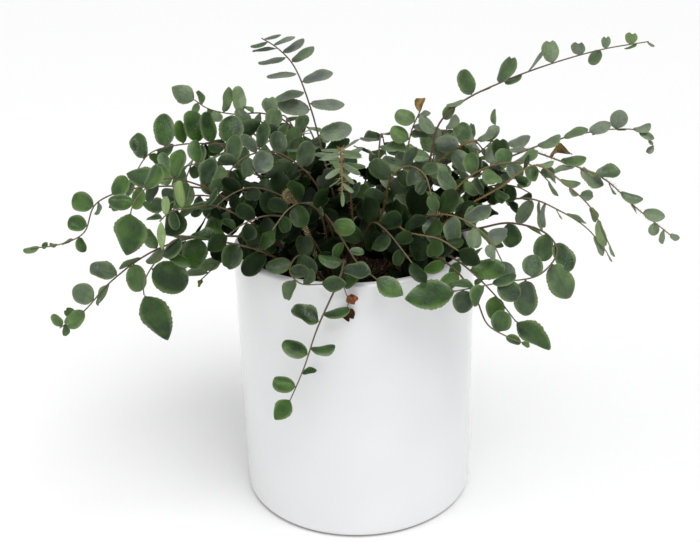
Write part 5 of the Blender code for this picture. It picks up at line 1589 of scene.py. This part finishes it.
# %% Looks
# The lift paints light into the colour of a frond's leaflets, and paints shade where it is below zero; the
# second number paints the grey sheen.
Look = namedtuple("Look", "tint bloom lift", defaults=(0.27, 0.35, 0.05))
USUAL = Look()
PALE_SHEEN = Look(0.33, 0.75, 0.42)
BLUE_GREY = Look(0.20, 0.95, 0.45)
GREY_GREEN = Look(0.14, 0.75, 0.12)
FRESH = Look(0.15, 0.05, 0.20)
FRESH_DARK = Look(0.07, 0.03, -0.05)
FRESH_LIGHT = Look(0.22, 0.08, 0.45)
SHADED = Look(0.16, 0.15, -0.62)
BACK = Look(0.28, 0.45, 0.30)
INNER = Look(0.12, 0.10, -0.30)
INNER_PALE = Look(0.34, 0.60, 0.45)
PALE_LEAFLET = Look(0.85, 0.45, 0.60)
HIDDEN_LEAFLET = Look(0.12, 0.25, -0.60)
DEEP = Look(0.06, 0.00, -0.08)

LOOKS = {
    PALE_SHEEN: "right_long right_thin right_low right_small crozier_back",
    BLUE_GREY: "right_high",
    GREY_GREEN: "right_near",
    FRESH: "left_terminal left_high",
    FRESH_DARK: "left_round front_hanging left_under",
    FRESH_LIGHT: "lower_right lower_thin front_mid",
    SHADED: "left_mid left_front front_left centre_front right_front back_short_4 inner_1 inner_4",
    BACK: "back_left_1 back_left_2 back_right_3 back_short_2 back_short_3 inner_2 inner_3 right_mid",
    Look(0.12, 0.80, 0.22): "upright",
    Look(0.32, 0.45, 0.40): "right_upper",
    Look(0.38, 0.35, 0.35): "left_top",
    Look(0.13, 0.18, 0.03): "right_loop left_deep",
    Look(0.06, 0.00, -0.22): "left_light",
    Look(0.42, 0.60, 0.60): "back_right_2",
    Look(0.12, 0.60, -0.25): "left_rise",
    Look(0.55, 0.80, 0.90): "right_crown",
    Look(0.90, 1.00, 1.00): "top_short",
    Look(0.36, 0.55, 0.05): "centre_young",
    Look(0.30, 0.25, 0.15): "left_far",
    Look(0.55, 0.35, 0.90): "left_rim",
    Look(0.08, 0.45, -0.38): "centre_right front_rim",
}
LOOK_OF = {name: look for look, names in LOOKS.items() for name in names.split()}
PALE_INSIDE = "right_crown right_small right_upper crozier_back top_short right_long back_right_2".split()


def by_leaflet(rows):
    """Looks the value of each row up by frond and number of the leaflet."""
    return {(frond, number): value for frond, numbers, value in rows for number in numbers}


# Single leaflets painted lighter than their frond, and others painted into shade.
LEAFLET_LOOKS = by_leaflet((
    ("left_light", (5, 8, 10), PALE_LEAFLET), ("right_near", (1, 3), HIDDEN_LEAFLET),
    ("left_far", (5, 7, 8), FRESH_DARK), ("left_terminal", (5, 6), DEEP), ("left_round", (8,), DEEP),
    ("right_loop", (14,), DEEP), ("right_loop", (6,), GREY_GREEN), ("lower_right", (7,), FRESH)))
OWN_SHAPE = by_leaflet((("right_upper", (4, 6, 7), NOTCHED_SHAPE), ("right_upper", (8, 10, 11), HEART_SHAPE)))
DRYNESS = by_leaflet((("right_long", (5,), 0.9), ("crozier_back", (11,), 0.9), ("left_rim", (5,), 0.5)))
print("fronds with a look of their own:", len(LOOK_OF), "leaflets:", len(LEAFLET_LOOKS))

# %% [markdown]
# ## The facts of a frond
# The frond tree reads everything from its mesh, so each fact becomes a named attribute on the points. A
# leaflet takes its look from its frond and a little chance, the large ones take a toothed shape, and how much
# each one curls is its size across the face. Every leaflet draws its chance from its own name, so a change to
# one leaves the rest.

# %% Facts of leaflets and stems
TINT_SPREAD = 0.15
TIP_LIGHTER = 0.08
SHEEN_SPREAD = (0.3, 1.5)
LARGE_LEAF = 13.6
LARGE_END_LEAF = 9.6
CURL = (0.6, 2.0)
CURL_OF = {"upright": (0.2, 0.6), "centre_young": (0.2, 0.5)}
LONGER = {"centre_young": 1.2}


def light_on(share, lift):
    """How lit a leaflet is painted: the share of sky that it sees, raised or lowered for its whole frond."""
    return share + (1.0 - share) * lift if lift > 0.0 else share * (1.0 + lift)


def leaf_kind(draw, blade):
    """Which leaf shape a leaflet takes."""
    if blade.share == 1.0 and blade.length > LARGE_END_LEAF:
        return END_SHAPE
    if blade.length > LARGE_LEAF:
        return draw.choice(LARGE_SHAPES)
    return draw.randrange(PLAIN_SHAPES)


LeafFacts = namedtuple("LeafFacts", "at along facing size shape tint bloom dry open")


def leaf_facts(frond, blade):
    """What the frond tree reads of one leaflet, its look drawn from its frond's look and a little chance."""
    draw = random.Random(f"{SEED}-{frond.name}-look-{blade.index}")
    look = LOOK_OF.get(frond.name, USUAL)
    if blade.index >= INNER_INDEX:
        look = INNER_PALE if frond.name in PALE_INSIDE else INNER
    look = LEAFLET_LOOKS.get((frond.name, blade.index), look)
    tint = look.tint + draw.uniform(-TINT_SPREAD, TINT_SPREAD) + TIP_LIGHTER * blade.share
    curl = draw.uniform(*CURL_OF.get(frond.name, CURL))
    shape = leaf_kind(draw, blade)
    bloom = min(1.0, look.bloom * draw.uniform(*SHEEN_SPREAD))
    shape = OWN_SHAPE.get((frond.name, blade.index), shape)
    dry = DRYNESS.get((frond.name, blade.index), 0.0)
    if dry:
        shape, bloom = DRY_SHAPE, 0.0
    length = blade.length * LONGER.get(frond.name, 1.0)
    lit = light_on(open_share[frond.name, blade.index], look.lift)
    size = (length * MM, blade.width * MM, blade.length * curl * MM)
    return LeafFacts(blade.at, blade.along, blade.normal, size, shape, tint, bloom, dry, lit)


def facts_mesh(stem, thick, leaves, gold=0.0):
    """The mesh of stem points and lone leaflet points, with their facts as attributes."""
    mesh = bpy.data.meshes.new("facts")
    mesh.from_pydata([point * MM for point in stem + [leaf.at for leaf in leaves]],
                     [(k, k + 1) for k in range(len(stem) - 1)], [])
    shares = [k / (len(stem) - 1) for k in range(len(stem))]
    zeros, arrows = [0.0] * len(stem), [(0.0, 0.0, 0.0)] * len(stem)
    facts = {
        "is_leaf": ("FLOAT", zeros + [1.0] * len(leaves)),
        "thick": ("FLOAT", [radius * MM for radius in thick] + [0.0] * len(leaves)),
        "way": ("FLOAT", shares + [1.0] * len(leaves)),
        "shape": ("INT", [0] * len(stem) + [leaf.shape for leaf in leaves]),
    }
    for name in ("tint", "bloom", "dry", "open"):
        own = [gold] * len(stem) if name == "bloom" else zeros
        facts[name] = ("FLOAT", own + [getattr(leaf, name) for leaf in leaves])
    for name in ("along", "facing", "size"):
        facts[name] = ("FLOAT_VECTOR", arrows + [tuple(getattr(leaf, name)) for leaf in leaves])
    for name, (kind, values) in facts.items():
        layer = mesh.attributes.new(name, kind, "POINT")
        layer.data.foreach_set("vector" if kind == "FLOAT_VECTOR" else "value", np.array(values).ravel())
    return mesh


print("facts of a leaflet:", LeafFacts._fields)

# %% [markdown]
# ## Growing the fronds
# Everything is ready, so each frond is now grown by the tree and takes the place of its solid. A stem tapers
# evenly from the soil to the tip. The golden stems have longer hairs, and on most fronds the hairs have worn
# down to a third near the tip.

# %% Grow the fronds
STEM_ROOT = 117.0
STEM_BASE_RADIUS = 0.66
STEM_TIP_RADIUS = 0.30
STEM_SIDES = 8
GOLDEN = ("right_long right_thin right_low right_rise right_mid right_near right_front centre_right "
          "right_crown crozier_back centre_young top_short").split()
GOLDEN_SHARE = 0.9
GOLDEN_HAIR = 0.0022
USUAL_HAIR = 0.0012
HAIR_GAP = 0.0003
HAIR_WORN = 0.3
HAIR_LEFT = {"centre_young": 1.2, "right_long": 0.8, "crozier_back": 0.8}


def grow(name, mesh, seed, hair_length, hair_left=HAIR_WORN, hair_gap=HAIR_GAP, down=hair_tan):
    """Runs the frond tree on a mesh of facts and lets the result ride on the body."""
    piece = put(name, mesh)
    run_tree(piece, dress_frond, {"Leaf Shapes": leaf_shelf, "Hair": hair, "Stem Sides": STEM_SIDES,
                                  "Hair Gap": hair_gap, "Hair Length": hair_length, "Hair At Tip": hair_left,
                                  "Seed": seed, "Leaf Material": leaf_green, "Stem Material": stem_brown,
                                  "Hair Material": down})
    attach(piece, "root")
    return piece


triangles = 0
for order, frond in enumerate(all_fronds):
    own = [leaf_facts(frond, blade) for blade in every_blade if blade.frond == frond.name]
    line = stem_lines[frond.name]
    stem = [Vector((line[0][0], line[0][1], STEM_ROOT))] + [Vector(point) for point in line]
    last = len(stem) - 1
    thick = [STEM_BASE_RADIUS + (STEM_TIP_RADIUS - STEM_BASE_RADIUS) * k / last for k in range(len(stem))]
    gold = GOLDEN_SHARE if frond.name in GOLDEN else 0.0
    piece = grow("fern_" + frond.name, facts_mesh(stem, thick, own, gold), order,
                 GOLDEN_HAIR if gold else USUAL_HAIR, HAIR_LEFT.get(frond.name, HAIR_WORN))
    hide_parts("frond_" + frond.name)
    triangles += triangle_count(piece)
print("fronds dressed:", len(all_fronds), "triangles:", triangles)

# %% [markdown]
# ## A young coil
# A new frond comes up rolled in a coil, called a crozier, under a coat of pale down. It is too slight for a
# solid of its own. It is given to the same frond tree, as a line of points with its thickness, so it needs no
# new tool: the stalk is a smooth route, and the coil is a circle whose radius shrinks as it turns.

# %% Crozier
CROZIER_STALK = ((-16.0, -20.0, STEM_ROOT), (-18.5, -24.0, 138.0), (-21.5, -29.0, 152.2),
                 (-24.3, -35.0, 163.8), (-26.4, -38.5, 172.0))
CROZIER_MIDDLE = Vector((-29.3, -40.0, 178.8))
CROZIER_RADIUS = (3.9, 1.0)
CROZIER_START = math.radians(-63.0)
CROZIER_TURNS = 1.7
CROZIER_FORWARD = 1.2
CROZIER_STEPS = 34
CROZIER_STEM = (0.60, 1.10, 0.60)
CROZIER_DOWN = 0.0017
CROZIER_DOWN_GAP = 0.00004
CROZIER_SEED = 201


def crozier_line():
    """The stalk's points, then a coil that winds inward in the plane that the viewer sees."""
    stalk = [Vector(point) for point in smooth_route(CROZIER_STALK)]
    coil = []
    for k in range(CROZIER_STEPS):
        share = k / (CROZIER_STEPS - 1)
        angle = CROZIER_START + share * CROZIER_TURNS * 2.0 * math.pi
        radius = CROZIER_RADIUS[0] + (CROZIER_RADIUS[1] - CROZIER_RADIUS[0]) * share
        forward = -CROZIER_FORWARD * share
        coil.append(CROZIER_MIDDLE + Vector((math.cos(angle) * radius, forward, math.sin(angle) * radius)))
    return stalk, coil


stalk, coil = crozier_line()
base, full, end = CROZIER_STEM
thick = [base] * len(stalk) + [full + (end - full) * k / len(coil) for k in range(len(coil))]
crozier = grow("fern_crozier", facts_mesh(stalk + coil, thick, [], GOLDEN_SHARE), CROZIER_SEED, CROZIER_DOWN,
               hair_left=1.0, hair_gap=CROZIER_DOWN_GAP, down=down_pale)
print("crozier triangles:", triangle_count(crozier))

# %% [markdown]
# ## Dry leaflets on a thread
# On the front of the pot a few leaflets have dried brown on a bare thread. Each row gives the place of one,
# the way it points, its length, width and curl, its shape, and how lit it is painted. They lie in two pairs,
# the upper painted as in the light and the lower painted in shade, and their full sheen-and-gold number gives
# them the colour of rust.

# %% Dry leaflets
THREAD = ((-6.0, -64.8, 144.6), (-4.6, -66.2, 140.5), (-3.4, -66.4, 136.0), (-4.2, -66.0, 131.5),
          (-4.6, -65.8, 126.5))
THREAD_STEP = 1.5
THREAD_RADIUS = 0.22
THREAD_HAIR = 0.0013
THREAD_SEED = 202
TO_VIEWER = Vector((0.15, -1.0, 0.25)).normalized()
RUSTY = {"tint": 0.2, "bloom": 1.0, "dry": 1.0}
# Painted light and painted shade: how lit the colour of each pair is painted.
IN_LIGHT = 0.7
IN_SHADE = 0.28
DRY_LEAFLETS = (
    ((-3.6, -66.4, 139.2), (0.55, -0.10, -0.80), (5.8, 5.2, 13.0), END_SHAPE, IN_LIGHT),
    ((-3.6, -66.3, 136.4), (0.80, -0.15, 0.10), (4.6, 4.0, 11.0), DRY_SHAPE, IN_LIGHT),
    ((-4.0, -66.0, 132.4), (0.45, -0.10, -0.85), (6.4, 4.6, 14.0), END_SHAPE, IN_SHADE),
    ((-4.2, -65.9, 130.6), (-0.60, -0.10, -0.60), (4.2, 4.2, 11.0), DRY_SHAPE, IN_SHADE),
)
thread = [Vector(point) for point in smooth_route(THREAD, THREAD_STEP)]
rusty = [LeafFacts(Vector(at), Vector(along).normalized(), TO_VIEWER, tuple(v * MM for v in size), shape,
                   open=light, **RUSTY) for at, along, size, shape, light in DRY_LEAFLETS]
dry_thread = grow("fern_dry_leaflets", facts_mesh(thread, [THREAD_RADIUS] * len(thread), rusty), THREAD_SEED,
                  THREAD_HAIR)
print("dry leaflets:", len(rusty), "triangles:", triangle_count(dry_thread))

# %% [markdown]
# ## Putting the tools away and measuring
# The leaf shapes and the hair were only tools, so they go. The box of the dressed plant is then printed
# beside the box of the plain solids. Finer surfaces may not make the object larger or smaller.

# %% Measure and finish
for tool in list(leaf_shelf.objects) + [hair]:
    bpy.data.objects.remove(tool, do_unlink=True)
bpy.data.collections.remove(leaf_shelf)
dressed_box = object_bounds()
for label, box in (("solids", cad_box), ("dressed", dressed_box)):
    print(label, [round(high - low, 4) for low, high in zip(*box)])
